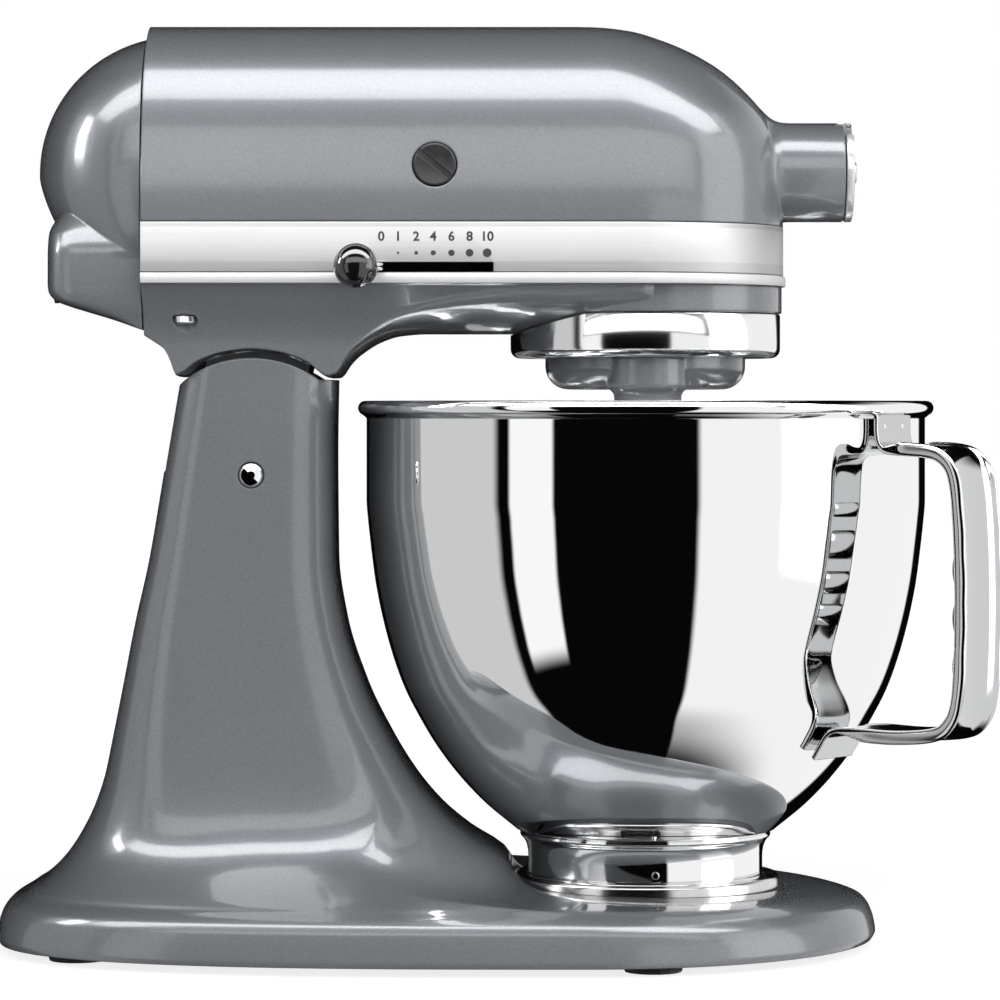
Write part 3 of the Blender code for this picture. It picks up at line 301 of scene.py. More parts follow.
PAINT = paint_material("grey_metallic_paint", (0.222, 0.233, 0.248), edge=1.2)
CHROME = polished_material("polished_steel", (0.93, 0.935, 0.94), 0.012)
SATIN = polished_material("satin_steel", (0.9, 0.905, 0.91), 0.085)
STRAP = polished_material("strap_steel", (0.62, 0.625, 0.63), 0.075)
BAND = metal_material("brushed_band", (0.54, 0.54, 0.54), 0.44, (14.0, 900.0, 2600.0), 0.12, edge=0.12)
LID = metal_material("satin_lid", (0.8, 0.8, 0.8), 0.2, depth=0.05)
LID.node_tree.nodes["Principled BSDF"].inputs["Metallic"].default_value = 0.4
STAINLESS = metal_material("ground_steel", (0.72, 0.72, 0.72), 0.16, (500.0, 500.0, 90.0), 0.08)
STEEL = metal_material("machined_steel", (0.42, 0.42, 0.44), 0.34)
CAST = metal_material("cast_aluminium", (0.58, 0.59, 0.6), 0.42, depth=0.2)
BRASS = metal_material("machined_brass", (0.75, 0.55, 0.25), 0.3)
COPPER = metal_material("wound_copper", (0.75, 0.36, 0.2), 0.35, (30.0, 900.0, 900.0), 0.3)
BLACK = plastic_material("gloss_black_plastic", (0.006, 0.006, 0.007), 0.12, 60.0, 0.01, coat=1.0)
DARK = plastic_material("satin_dark_plastic", (0.03, 0.03, 0.033), 0.34)
RUBBER = plastic_material("moulded_rubber", (0.014, 0.014, 0.014), 0.62, 900.0, 0.2)
CARBON = plastic_material("pressed_carbon", (0.03, 0.03, 0.03), 0.5, 1200.0, 0.3)
INK = plastic_material("printed_marks", (0.045, 0.047, 0.05), 0.5, 2000.0, 0.02)

SLOT_MATERIALS = {
    "paint": PAINT,
    "chrome": CHROME,
    "stainless": STAINLESS,
    "steel": STEEL,
    "aluminium": CAST,
    "brass": BRASS,
    "copper": COPPER,
    "black_plastic": BLACK,
    "dark_plastic": DARK,
    "rubber": RUBBER,
    "carbon": CARBON,
}


BEAD_TOP = 258.2
# the band's lanes: lowest and highest millimetre, and how bright each is painted; the bead's lane is painted
# brighter as a painted highlight, the groove's lane above it painted darker as painted shade
BAND_LANES_AND_PAINTED_LIGHT = ((254.4, BEAD_TOP, 1.6), (BEAD_TOP, 258.7, 0.25), (258.7, 262.4, 0.86), (275.4, 276.9, 0.8))


def paint_band_highlight_and_shade():
    """The band's polished bead painted brighter as a painted highlight, the groove above it painted darker as
    painted shade, and the grey lanes beside its plate.
    """
    n = Nodes(BAND.node_tree)
    shader = BAND.node_tree.nodes["Principled BSDF"]
    plain = shader.inputs["Base Color"].links[0].from_socket
    height = n.math("MULTIPLY", n.add("ShaderNodeSeparateXYZ", {0: place(n)}).outputs[2], 1000.0)
    tone = 1.0
    # each lane multiplies the colour: a painted highlight on the bead, painted shade in the groove above it
    for low, high, change in BAND_LANES_AND_PAINTED_LIGHT:
        inside = n.math("MULTIPLY", n.math("GREATER_THAN", height, low), n.math("LESS_THAN", height, high))
        tone = n.math("MULTIPLY", n.ramp(inside, 0.0, 1.0, 1.0, change), tone)
    # the bead's lane is made less metallic so that its brighter colour shows everywhere as a painted
    # highlight
    bead = n.math("LESS_THAN", height, BEAD_TOP)
    n.put(shader.inputs["Metallic"], n.ramp(bead, 0.0, 1.0, 0.55, 0.2))
    n.put(shader.inputs["Base Color"], n.shaded(plain, tone))


paint_band_highlight_and_shade()
slots = {part["node"]: part["material_slot"] for part in frame["record"]["subparts"]}
body_of_node = {n: b for b, nodes in frame["record"]["behaviour"]["bodies"].items() for n in nodes}

# Shapes: each function returns (points, faces) of one surface


def loft(rings, closed=False):
    count = len(rings[0])
    points = [point for ring in rings for point in ring]
    faces = []
    for r in range(len(rings) if closed else len(rings) - 1):
        below, above = r * count, (r + 1) % len(rings) * count
        for k in range(count):
            after = (k + 1) % count
            faces.append((below + k, below + after, above + after, above + k))
    if not closed:
        faces.append(tuple(range(count)))
        faces.append(tuple(range(len(points) - count, len(points))))
    return points, faces


def placed(axis, along, across, up, centre=(0, 0, 0)):
    order = {"X": (along, across, up), "Y": (across, along, up), "Z": (across, up, along)}[axis]
    return tuple(a + b for a, b in zip(order, centre))


def circle(axis, along, radius, centre=(0, 0, 0), count=96):
    turns = [2 * pi * (k + 0.5) / count for k in range(count)]
    return [placed(axis, along, radius * cos(a), radius * sin(a), centre) for a in turns]


def turned(axis, profile, centre=(0, 0, 0), count=96):
    return loft([circle(axis, along, radius, centre, count) for radius, along in profile], True)


def stepped(axis, steps, centre=(0, 0, 0), count=96):
    return loft([circle(axis, along, radius, centre, count) for radius, along in steps])


def rod(axis, low, high, radius, centre=(0, 0, 0), count=64):
    return stepped(axis, [(radius, low), (radius, high)], centre, count)


def prism(axis, outline, low, high, centre=(0, 0, 0)):
    return loft([[placed(axis, along, a, b, centre) for a, b in outline] for along in (low, high)])


def box(low, high):
    outline = [(low[0], low[1]), (high[0], low[1]), (high[0], high[1]), (low[0], high[1])]
    return prism("Z", outline, low[2], high[2])


def turned_about_z(shape, angle):
    points, faces = shape
    turn = Matrix.Rotation(angle, 3, "Z")
    return [tuple(turn @ Vector(p)) for p in points], faces


def power(value, exponent):
    return abs(value) ** exponent * (1 if value >= 0 else -1)


def spline(rows, keys):
    """Monotone cubic interpolation of rows by their first column, at each key."""
    rows = sorted(rows)
    xs = [row[0] for row in rows]
    gaps = [q - p for p, q in zip(xs, xs[1:])]
    slopes = []
    for column in range(1, len(rows[0])):
        ys = [row[column] for row in rows]
        chords = [(ys[k + 1] - ys[k]) / (xs[k + 1] - xs[k]) for k in range(len(xs) - 1)]
        tangents = [chords[0]]
        for a, b, w, v in zip(chords, chords[1:], gaps, gaps[1:]):
            tangents.append((w + v) / (w / a + v / b) if a * b > 0 else 0.0)
        tangents.append(chords[-1])
        slopes.append((ys, tangents))
    made = []
    for key in keys:
        k = 0
        while k < len(xs) - 2 and key > xs[k + 1]:
            k += 1
        span = xs[k + 1] - xs[k]
        t = min(1.0, max(0.0, (key - xs[k]) / span))
        row = []
        for ys, tangents in slopes:
            h00, h10 = 2 * t**3 - 3 * t**2 + 1, t**3 - 2 * t**2 + t
            h01, h11 = -2 * t**3 + 3 * t**2, t**3 - t**2
            start = h00 * ys[k] + h10 * span * tangents[k]
            row.append(start + h01 * ys[k + 1] + h11 * span * tangents[k + 1])
        made.append((key, *row))
    return made


def between(keys, step):
    """The keys with evenly spaced ones put in between, no further apart than step."""
    made = []
    for a, b in zip(keys, keys[1:]):
        parts = max(1, int(abs(b - a) / step + 0.999))
        made += [a + (b - a) * k / parts for k in range(parts)]
    return made + [keys[-1]]


def mesh_of(name, shape):
    points, faces = shape
    mesh = bpy.data.meshes.new(name)
    mesh.from_pydata([((x + BOWL_AXIS_X) * MM, y * MM, z * MM) for x, y, z in points], [], faces)
    bm = bmesh.new()
    bm.from_mesh(mesh)
    bmesh.ops.recalc_face_normals(bm, faces=bm.faces)
    bm.to_mesh(mesh)
    bm.free()
    mesh.shade_smooth()
    return mesh


def applied(made):
    """Turns an object's modifiers into its mesh and removes their helpers."""
    graph = bpy.context.evaluated_depsgraph_get()
    mesh = bpy.data.meshes.new_from_object(made.evaluated_get(graph))
    helpers = [m.object for m in made.modifiers if m.type == "BOOLEAN"]
    made.modifiers.clear()
    made.data = mesh
    for helper in helpers:
        bpy.data.objects.remove(helper, do_unlink=True)


def piece(name, node, finish, shape, *steps, sharp=32, remesh=None, levels=0):
    """A shown piece that stands for a CAD node: a shape, Boolean steps, and how its edges end."""
    made = bpy.data.objects.new(name, mesh_of(name, shape))
    scene.collection.objects.link(made)
    operations = {"add": "UNION", "cut": "DIFFERENCE", "keep": "INTERSECT"}
    for number, (action, tool_shape) in enumerate(steps):
        tool = bpy.data.objects.new(f"{name}_{number}", mesh_of(f"{name}_{number}", tool_shape))
        scene.collection.objects.link(tool)
        modifier = made.modifiers.new(f"{action}_{number}", "BOOLEAN")
        modifier.operation = operations[action]
        modifier.object = tool
    if remesh:
        voxels = made.modifiers.new("voxels", "REMESH")
        voxels.mode = "VOXEL"
        voxels.voxel_size = remesh * MM
        soften = made.modifiers.new("soften", "SMOOTH")
        soften.iterations = 4
        soften.factor = 0.5
    if levels:
        finer = made.modifiers.new("finer", "SUBSURF")
        finer.levels = finer.render_levels = levels
    applied(made)
    made.data.materials.clear()
    made.data.materials.append(finish)
    made.data.shade_smooth()
    if not remesh:
        made.data.set_sharp_from_angle(angle=radians(sharp))
    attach(made, body_of_node[node])
    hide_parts(node)


def riding(made, body, finish):
    """Gives a small piece that stands for no CAD node its finish and body."""
    made.data.materials.clear()
    made.data.materials.append(finish)
    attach(made, body)


def small_piece(name, shape, body, finish):
    made = bpy.data.objects.new(name, mesh_of(name, shape))
    made.data.set_sharp_from_angle(angle=radians(30))
    scene.collection.objects.link(made)
    riding(made, body, finish)


# CAD nodes that keep their own shape

for node, obj in frame["nodes"].items():
    obj.data.materials.clear()
    obj.data.materials.append(SLOT_MATERIALS[slots[node]])
    obj.data.shade_smooth()
    obj.data.set_sharp_from_angle(angle=radians(28))

# Stand

PIVOT_X, PIVOT_Z = -150.7, 182.0
COLUMN_TOP_RADIUS, NECK_RADIUS = 44.3, 47.1
COLUMN_HALF_WIDTH = 42.5
COLUMN_FRONT_TOP = 218.2
BOLT_Z = PIVOT_Z - 18.0
FOOT_PLACES = ((66, 0), (0, 88), (0, -88), (-215, 55), (-215, -55))
CLAMP_SCREWS = [(30 * cos(radians(a)), 30 * sin(radians(a))) for a in (52, 172, 292)]
PLATE_RADIUS, PLATE_Z, PLATE_TOP, FOOT_RADIUS = 52.2, 20.8, 27.5, 45.4
STAND_WALL, STAND_TOP_WALL = 5, 8

# height, rear, widest point, front, half width, rear power, front power
STAND_STATIONS = (
    (3.5, -248.7, -25, 87.6, 111.0, 3.0, 2.05),
    (6.0, -249.6, -25, 88.9, 112.0, 3.0, 2.05),
    (10.5, -249.0, -25, 88.2, 111.3, 3.0, 2.05),
    (15.0, -247.6, -26, 86.6, 109.8, 3.0, 2.05),
    (18.2, -245.6, -28, 84.2, 107.6, 3.0, 2.05),
    (20.3, -242.6, -32, 78.5, 104.6, 3.0, 2.1),
    (22.2, -239.4, -36, 66.0, 100.6, 3.0, 2.1),
    (24.0, -236.8, -55, -40.0, 96.6, 3.0, 2.2),
    (26.0, -233.5, -80, -46.0, 91.0, 3.0, 2.3),
    (30.0, -228.8, -110, -50.0, 82.0, 2.9, 2.6),
    (36.0, -223.3, -130, -54.0, 71.0, 2.9, 2.8),
    (44.0, -218.0, -140, -66.5, 62.0, 3.0, 3.0),
    (54.0, -213.0, -148, -78.5, 56.0, 3.1, 3.2),
    (66.0, -208.9, -150, -88.6, 52.0, 3.2, 3.4),
    (80.0, -205.9, -151, -97.4, 49.0, 3.4, 3.6),
    (100.0, -201.9, -152, -107.4, 46.0, 3.6, 3.8),
    (125.0, -197.0, -153, -115.6, 44.0, 3.8, 4.0),
    (150.0, -191.4, -153, -119.2, 43.0, 4.0, 4.0),
    (190.0, -184.6, -151, -119.6, COLUMN_HALF_WIDTH, 4.0, 4.0),
    (228.0, -178.0, -149, -119.0, COLUMN_HALF_WIDTH, 4.0, 4.0),
)


def oval(rear, middle, front, half_width, rear_power, front_power, z, count=220):
    """A level outline with its own roundness at the rear and at the front."""
    ring = []
    for k in range(count):
        angle = 2 * pi * (k + 0.5) / count
        ahead = cos(angle) > 0
        bend = front_power if ahead else rear_power
        reach = front - middle if ahead else middle - rear
        x = middle + reach * power(cos(angle), 2 / bend)
        ring.append((x, half_width * power(sin(angle), 2 / bend), z))
    return ring


def column_profile():
    """The column's side view: its top is an arc about the pivot that ends just above it."""
    rise = 6.0
    outline = [(-300, -5), (150, -5), (150, COLUMN_FRONT_TOP)]
    start = asin((COLUMN_FRONT_TOP - PIVOT_Z) / COLUMN_TOP_RADIUS)
    end = pi - asin(rise / COLUMN_TOP_RADIUS)
    for k in range(61):
        angle = start + (end - start) * k / 60
        outline.append((PIVOT_X + COLUMN_TOP_RADIUS * cos(angle), PIVOT_Z + COLUMN_TOP_RADIUS * sin(angle)))
    return outline + [(-300, PIVOT_Z + rise)]


def stand_rings():
    heights = between([row[0] for row in STAND_STATIONS[:8]], 0.45)[:-1]
    heights += between([row[0] for row in STAND_STATIONS[7:]], 3.0)
    rings = []
    for z, rear, middle, front, half, rear_power, front_power in spline(STAND_STATIONS, heights):
        rings.append(oval(rear, middle, front, half, rear_power, front_power, z))
    return rings


def stand_hollow():
    rings = []
    for station in ((7.0, *STAND_STATIONS[1][1:]), *STAND_STATIONS[2:-1]):
        height, rear, middle, front, half, *bends = station
        inside = (rear + STAND_WALL, middle, front - STAND_WALL, half - STAND_WALL)
        rings.append(oval(*inside, *bends, height - STAND_TOP_WALL, 60))
    return loft(rings)


stand_steps = [
    ("keep", prism("Y", column_profile(), -150, 150)),
    ("cut", stand_hollow()),
    # room for the neck, and behind it for the neck's swing
    ("cut", box((-178, -26, 176), (-127, 26, 240))),
    ("cut", box((-205, -26, 183), (-170, 26, 240))),
    # the clamp plate's seat, the hinge pin's hole and the lock knob's slot
    ("cut", rod("Z", PLATE_Z - 0.35, 50, 55.0, count=160)),
    ("cut", rod("Y", -60, 60, 5.05, (PIVOT_X, 0, PIVOT_Z))),
    ("cut", box((-178, 30, BOLT_Z - 3.5), (-159, 60, BOLT_Z + 3.5))),
]
stand_steps += [("add", rod("Z", 6.0, 17.5, 7.0, (x, y, 0), 32)) for x, y in FOOT_PLACES]
stand_steps += [("cut", rod("Z", 14, 30, 2.3, (x, y, 0), 24)) for x, y in CLAMP_SCREWS]
piece("stand_casting", "stand", PAINT, loft(stand_rings()), *stand_steps, sharp=40)

# Head

REAR_SEAM_X = -191.2
HEAD_TOP, BAND_TOP, BAND_BOTTOM, SPLIT_Z = 355.0, 277.3, 254.3, 267.7
HEAD_HALF_WIDTH, NOSE_CENTRE_X, NOSE_LENGTH = 60.0, -10.0, 63.4
ARM_BOTTOM, FRONT_RADIUS, FRONT_BOTTOM = 236.0, 52.9, 243.9
MOTOR_Z, HUB_RADIUS, HUB_FACE_X, BRUSH_X, THUMBSCREW_X = 298.8, 19.2, 76.7, -80.9, 38.0
DOME_BEND, BAND_RECESS, SHELL_WALL, SHELL_FOOT = 2.4, 1.6, 3.6, 5.6
# past the rear end of the head, for cuts that open it there
BEHIND_X = -230
APEX = (0, 0, MOTOR_Z)
HUB_HINGE = (78.5, 0, 316.9)
LEVER_X, LEVER_Z, LEVER_TRAVEL = -101.0, 260.3, 39.0
SLOT_LEFT, SLOT_RIGHT = LEVER_X - 3.2, LEVER_X + LEVER_TRAVEL + 3.2
# the housing's height, and how far it reaches forward there
NOSE_PROFILE = (
    (277.3, 53.4),
    (290.0, 53.3),
    (300.0, 52.9),
    (310.0, 51.2),
    (318.0, 48.0),
    (324.0, 44.0),
    (332.0, 36.5),
    (338.3, 29.0),
    (343.3, 21.0),
    (347.2, 13.0),
    (350.3, 5.0),
    (352.7, -2.5),
    (354.3, -12.0),
    (354.98, -24.0),
)


def horseshoe(flat_x, centre_x, length, half_width, z, bend=2.0, count=80, side=14):
    """A level outline: a straight end at flat_x, straight sides, and a round end about centre_x."""
    ring = [(flat_x + (centre_x - flat_x) * k / side, half_width, z) for k in range(side)]
    for k in range(count + 1):
        angle = pi / 2 - pi * k / count
        x = centre_x + length * power(cos(angle), 2 / bend)
        ring.append((x, half_width * power(sin(angle), 2 / bend), z))
    return ring + [(flat_x + (centre_x - flat_x) * k / side, -half_width, z) for k in reversed(range(side))]


def housing_ring(lean, shrink=0.0, rear=REAR_SEAM_X):
    """A level of the dome; lean runs from 0 at its foot to 90 degrees at its ridge."""
    share = sin(radians(lean)) ** (2 / DOME_BEND)
    width = cos(radians(lean)) ** (2 / DOME_BEND) if lean < 90 else 0.0
    z = BAND_TOP + 0.3 + (HEAD_TOP - BAND_TOP - 0.3 - shrink) * share
    reach = spline(NOSE_PROFILE, [min(NOSE_PROFILE[-1][0], z + shrink * share)])[0][1] - shrink
    length = NOSE_LENGTH * width
    return horseshoe(rear, reach - length, length, (HEAD_HALF_WIDTH - shrink) * width, z)


HUB_FLARE = (
    (30.0, 30.0),
    (41.0, 28.0),
    (44.6, 24.8),
    (47.2, 22.2),
    (49.8, 20.4),
    (52.5, 19.5),
    (55.5, HUB_RADIUS),
)


def hub_flare():
    """The attachment hub with the small fillet by which it grows out of the housing."""
    keys = between([x for x, _ in HUB_FLARE], 0.5)
    steps = [(radius, x) for x, radius in spline(HUB_FLARE, keys)]
    steps += [(HUB_RADIUS, HUB_FACE_X - 0.8), (HUB_RADIUS - 0.25, HUB_FACE_X - 0.25)]
    steps += [(HUB_RADIUS - 0.8, HUB_FACE_X)]
    return stepped("X", steps, APEX, 128)


recess = [
    horseshoe(REAR_SEAM_X, NOSE_CENTRE_X, NOSE_LENGTH - BAND_RECESS, HEAD_HALF_WIDTH - BAND_RECESS, z)
    for z in (SPLIT_Z + 0.3, BAND_TOP + 0.29)
]
dome = [housing_ring(90 * k / 60) for k in range(61)]
inner_dome = [horseshoe(BEHIND_X, NOSE_CENTRE_X, NOSE_LENGTH - SHELL_FOOT, HEAD_HALF_WIDTH - SHELL_FOOT, 250)]
inner_dome += [housing_ring(lean, SHELL_WALL, BEHIND_X) for lean in (0, 12, 24, 36, 48, 60, 70, 80)]
housing_steps = [
    ("add", hub_flare()),
    ("cut", loft(inner_dome)),
    # the hub's socket, the brush caps' holes, the thumb screw's hole and the lid hinge's gap
    ("cut", rod("X", 30, 90, 9.6, APEX)),
    ("cut", rod("Y", -70, 70, 8.5, (BRUSH_X, 0, MOTOR_Z), 96)),
    ("cut", rod("Y", 5, 70, 3.4, (THUMBSCREW_X, 0, MOTOR_Z), 32)),
    ("cut", box((HUB_FACE_X - 2.4, -4.9, 313), (90, 4.9, 325))),
]
for side in (-1, 1):
    ear = box((HUB_FACE_X - 3.3, side * 5.9 - 0.8, 313.6), (79.6, side * 5.9 + 0.8, 317.2))
    housing_steps.append(("add", ear))
housing_steps.append(("cut", rod("Y", -10, 10, 1.1, HUB_HINGE, 24)))
piece("housing_shell", "motor_housing", PAINT, loft([*recess, *dome]), *housing_steps, sharp=38)

# Gearcase


def arm_side(z, low, ridge):
    """Half width of the arm: the neck's flank above the ridge and a round underside below it."""
    level = max(z, ridge)
    flare = min(1.0, max(0.0, (level - FLARE_Z) / FLARE_HEIGHT)) ** 1.5
    flank = COLUMN_HALF_WIDTH + (ARM_HALF_WIDTH - COLUMN_HALF_WIDTH) * flare
    if z >= ridge:
        return flank
    depth = min(1.0, (ridge - z) / (ridge - low))
    return flank * (1 - depth**UNDERSIDE_POWER) ** (1 / UNDERSIDE_POWER)


def arc_height(x):
    return PIVOT_Z + sqrt(NECK_RADIUS**2 - (x - PIVOT_X) ** 2)


UNDERSIDE_POWER = 1.9
ARM_HALF_WIDTH, FLARE_Z, FLARE_HEIGHT = 57.3, 232, 22
FRONT_RIDGE_Z = 253.6
# along the arm, its underside's height, and the ridge's height
ARM_STATIONS = [
    (REAR_SEAM_X, 234.2, 235.2),
    (-187.0, 231.5, 232.5),
    (-183.7, 229.0, 230.0),
    (-181.0, 223.5, 224.5),
    *[(x, arc_height(x), arc_height(x) + 1.0) for x in (-179.4, -171, -161, -150.7, -140, -130, -121.4)],
    (-118.6, 219.0, 221.0),
    (-115.0, 223.5, 227.0),
    (-111.0, 227.5, 232.0),
    (-103.0, 232.6, 239.0),
    (-95.0, 235.2, 243.5),
    (-85.0, ARM_BOTTOM, 247.0),
    (-70.0, ARM_BOTTOM, 250.2),
    (-50.0, ARM_BOTTOM, 252.6),
    (-25.0, ARM_BOTTOM, 253.5),
    (NOSE_CENTRE_X, ARM_BOTTOM, FRONT_RIDGE_Z),
]


def arm_ring(x, low, ridge, narrow=1.0, grow=0.0):
    """The arm's section at x, from the split down its flank and underside."""
    top_half = (HEAD_HALF_WIDTH - BAND_RECESS) * narrow
    side = [(top_half, SPLIT_Z), (top_half, BAND_BOTTOM)]
    parts = 44
    for k in range(parts + 1):
        z = low + (BAND_BOTTOM - 0.4 - low) * (1 - k / parts) ** 1.8
        half = arm_side(z, low - 0.02, ridge) * narrow
        if x > -1:
            half = min(half, sqrt(max(1.0, (FRONT_RADIUS - 0.6) ** 2 - x * x)))
        side.append((half + grow, z - grow))
    ring = [(x, half, z) for half, z in side] + [(x, 0, low - grow)]
    return ring + [(x, -half, z) for half, z in reversed(side)]


def arm_shape(grow=0.0, step=1.5):
    keys = between([station[0] for station in ARM_STATIONS], step)
    rings = [arm_ring(*row, grow=grow) for row in spline(ARM_STATIONS, keys)]
    for k in range(1, 24):
        angle = radians(86 * k / 23)
        x = NOSE_CENTRE_X + (NOSE_LENGTH - BAND_RECESS) * sin(angle)
        rings.append(arm_ring(x, ARM_BOTTOM, FRONT_RIDGE_Z, cos(angle), grow))
    return loft(rings)


def at_angle(angle, radius):
    return PIVOT_X + radius * cos(radians(angle)), PIVOT_Z + radius * sin(radians(angle))


front_steps = [(FRONT_RADIUS - 0.5, FRONT_BOTTOM), (FRONT_RADIUS, FRONT_BOTTOM + 0.5)]
front_steps += [(FRONT_RADIUS, BAND_BOTTOM - 0.3), (FRONT_RADIUS - BAND_RECESS, BAND_BOTTOM - 0.2)]
front_steps += [(FRONT_RADIUS - BAND_RECESS, SPLIT_Z)]
web = [at_angle(64, 52), at_angle(112, 52), (PIVOT_X - 11, PIVOT_Z), (PIVOT_X + 11, PIVOT_Z)]
cavity_levels = ((0, 40, 247.9), (2, 48, 252), (5, 54, 258), (5.8, 54.6, 290))
cavity = [horseshoe(BEHIND_X, NOSE_CENTRE_X, 52 + more, half, z) for more, half, z in cavity_levels]
gearcase_steps = [
    ("add", stepped("Z", front_steps, count=160)),
    # the hollow, its deeper floor along the arm, the planetary's room and its shaft's hole
    ("cut", loft(cavity)),
    ("cut", box((BEHIND_X, -33, 241), (-58, 33, 250))),
    ("cut", rod("Z", 200, FRONT_BOTTOM, 49.0, count=96)),
    ("cut", rod("Z", 230, 260, 7.2)),
    # the neck's web, its boss round the hinge pin and the tail that the lock bolt holds
    ("add", prism("Y", web, -22, 22)),
    ("add", rod("Y", -22, 22, 13.0, (PIVOT_X, 0, PIVOT_Z))),
    ("add", box((PIVOT_X - 7.5, -14, PIVOT_Z - 26), (PIVOT_X + 7.5, 14, PIVOT_Z))),
    # the holes for the pin and the bolt, and the speed lever's slot
    ("cut", rod("Y", -40, 40, 5.1, (PIVOT_X, 0, PIVOT_Z))),
    ("cut", rod("X", -165, -137, 4.2, (0, 0, BOLT_Z))),
    ("cut", box((SLOT_LEFT, -70, LEVER_Z - 2.1), (SLOT_RIGHT, -40, LEVER_Z + 2.1))),
]
POCKET_X, POCKET_Y, POCKET_Z, POCKET_LEAN = -175.6, 45.5, 242.6, 0.42


def neck_pocket(side, steps, count=48):
    """A round shape down a neck screw's leaning axis, through (radius, depth below its end) steps."""
    rings = []
    for radius, depth in steps:
        centre = (POCKET_X + 0.12 * depth, side * (POCKET_Y + POCKET_LEAN * depth), 0)
        rings.append(circle("Z", POCKET_Z - depth, radius, centre, count))
    return loft(rings)


POCKET_STEPS = ((4.9, 24.0), (4.75, 1.6), (4.5, 0.5), (4.0, 0.0))
SCREW_HOLE_STEPS = ((2.4, 1.0), (2.4, -12.0))
for side in (-1, 1):
    gearcase_steps.append(("cut", neck_pocket(side, POCKET_STEPS)))
    gearcase_steps.append(("cut", neck_pocket(side, SCREW_HOLE_STEPS, 24)))
piece("gearcase_casting", "gearcase", PAINT, arm_shape(), *gearcase_steps, sharp=38)

# Rear cover

COVER_X = REAR_SEAM_X - 0.5
COVER_CENTRE_X, COVER_LENGTH = -180.0, 54.8
SEAM_LEAN = asin((COVER_CENTRE_X - COVER_X) / COVER_LENGTH)
COVER_MIDDLE_Z, COVER_RISE, COVER_DROP = 297.0, 54.3, 57.0
GROMMET_Z, COVER_SCREW_Z = 256.0, 300.0
# the chin's height, its rear end and its half width
CHIN_STATIONS = (
    (237.2, -193.0, 45.0),
    (241.0, -204.0, 47.0),
    (243.4, -212.0, 48.5),
    (246.5, -222.0, 50.0),
    (248.5, -226.5, 50.5),
    (251.5, -228.8, 51.0),
    (254.5, -229.2, 51.0),
    (266.0, -229.2, 50.5),
    (273.0, -229.0, 47.5),
    (280.0, -226.0, 42.0),
    (287.0, -219.0, 35.0),
)


def cover_dome(shrink, front, count=120):
    """The upper part of the cover, as rings that lean back about its centre from the seam."""
    last = radians(88.5)
    leans = [SEAM_LEAN + (last - SEAM_LEAN) * k / 40 for k in range(41)]
    rings = []
    for number, lean in enumerate([SEAM_LEAN] + leans):
        x = COVER_CENTRE_X - (COVER_LENGTH - shrink) * sin(lean) if number else front
        ring = []
        for k in range(count):
            angle = 2 * pi * k / count
            height = (COVER_RISE - shrink) * cos(lean)
            if sin(angle) <= 0:
                height = (COVER_DROP - shrink) * cos(lean) ** 1.5
            y = (HEAD_HALF_WIDTH - shrink) * cos(lean) * power(cos(angle), 2 / DOME_BEND)
            ring.append((x, y, COVER_MIDDLE_Z + height * power(sin(angle), 2 / DOME_BEND)))
        rings.append(ring)
    return loft(rings if front > COVER_X else rings[1:])


def cover_chin(shrink, front):
    """The boxy lower part of the cover."""
    rings = []
    for z, rear, half_width in spline(CHIN_STATIONS, between([row[0] for row in CHIN_STATIONS], 0.8)):
        length = rear - COVER_X + shrink
        if not shrink or length < -6:
            level = z + 0.8 * shrink
            rings.append(horseshoe(front, COVER_X, length, half_width - shrink, level, 6.0, 96, 3))
    return loft(rings)


piece(
    "rear_cover_shell",
    "rear_cover",
    PAINT,
    cover_dome(0, COVER_X),
    ("add", cover_chin(0, COVER_X)),
    ("cut", cover_dome(SHELL_WALL, COVER_X + 8, 48)),
    ("cut", cover_chin(SHELL_WALL, COVER_X + 8)),
    # stepped holes for the cord's grommet and the cover's screw
    ("cut", rod("X", -250, -220, 7.2, (0, 0, GROMMET_Z))),
    ("cut", rod("X", -250, -227.4, 8.4, (0, 0, GROMMET_Z))),
    ("cut", rod("X", -250, -232.5, 4.6, (0, 0, COVER_SCREW_Z))),
    ("cut", rod("X", -250, -220, 2.6, (0, 0, COVER_SCREW_Z), 32)),
    sharp=42,
)

# Trim band


def band_ring(offset, z):
    """A level of the band, standing out from the head by the offset."""
    parts = 90
    half, length = HEAD_HALF_WIDTH + offset, NOSE_LENGTH + offset
    straight = [(REAR_SEAM_X + (NOSE_CENTRE_X - REAR_SEAM_X) * k / 12, -half, z) for k in range(12)]
    nose = []
    for k in range(parts + 1):
        angle = -pi / 2 + pi * k / parts
        nose.append((NOSE_CENTRE_X + length * cos(angle), half * sin(angle), z))
    return straight + nose + [(x, -y, z) for x, y, z in reversed(straight)]


band_section = (
    (-1.2, BAND_BOTTOM),
    (0.7, BAND_BOTTOM),
    (0.95, BAND_BOTTOM + 0.3),
    (1.1, BAND_BOTTOM + 1.9),
    (0.95, BAND_BOTTOM + 3.5),
    (0.7, BAND_BOTTOM + 3.8),
    (0.1, BAND_BOTTOM + 3.9),
    (0.1, BAND_TOP - 0.2),
    (-0.1, BAND_TOP),
    (-1.2, BAND_TOP),
)
band_rings = [list(ring) for ring in zip(*[band_ring(offset, z) for offset, z in band_section])]
lever_slot = box((SLOT_LEFT, -70, LEVER_Z - 1.9), (SLOT_RIGHT, -50, LEVER_Z + 1.9))
piece("trim_strip", "trim_band", BAND, loft(band_rings), ("cut", lever_slot), sharp=50)

# Speed marks on the band

MARK_Y = -HEAD_HALF_WIDTH - 0.1
DIGIT_Z, DOT_Z = 270.2, 265.6
# the number, its place along the band, and the width of its dot
MARKS = (
    ("0", -100.9, 0),
    ("1", -94.6, 0.9),
    ("2", -87.8, 1.4),
    ("4", -81.4, 1.9),
    ("6", -74.6, 2.4),
    ("8", -67.8, 2.9),
    ("10", -61.2, 3.3),
)


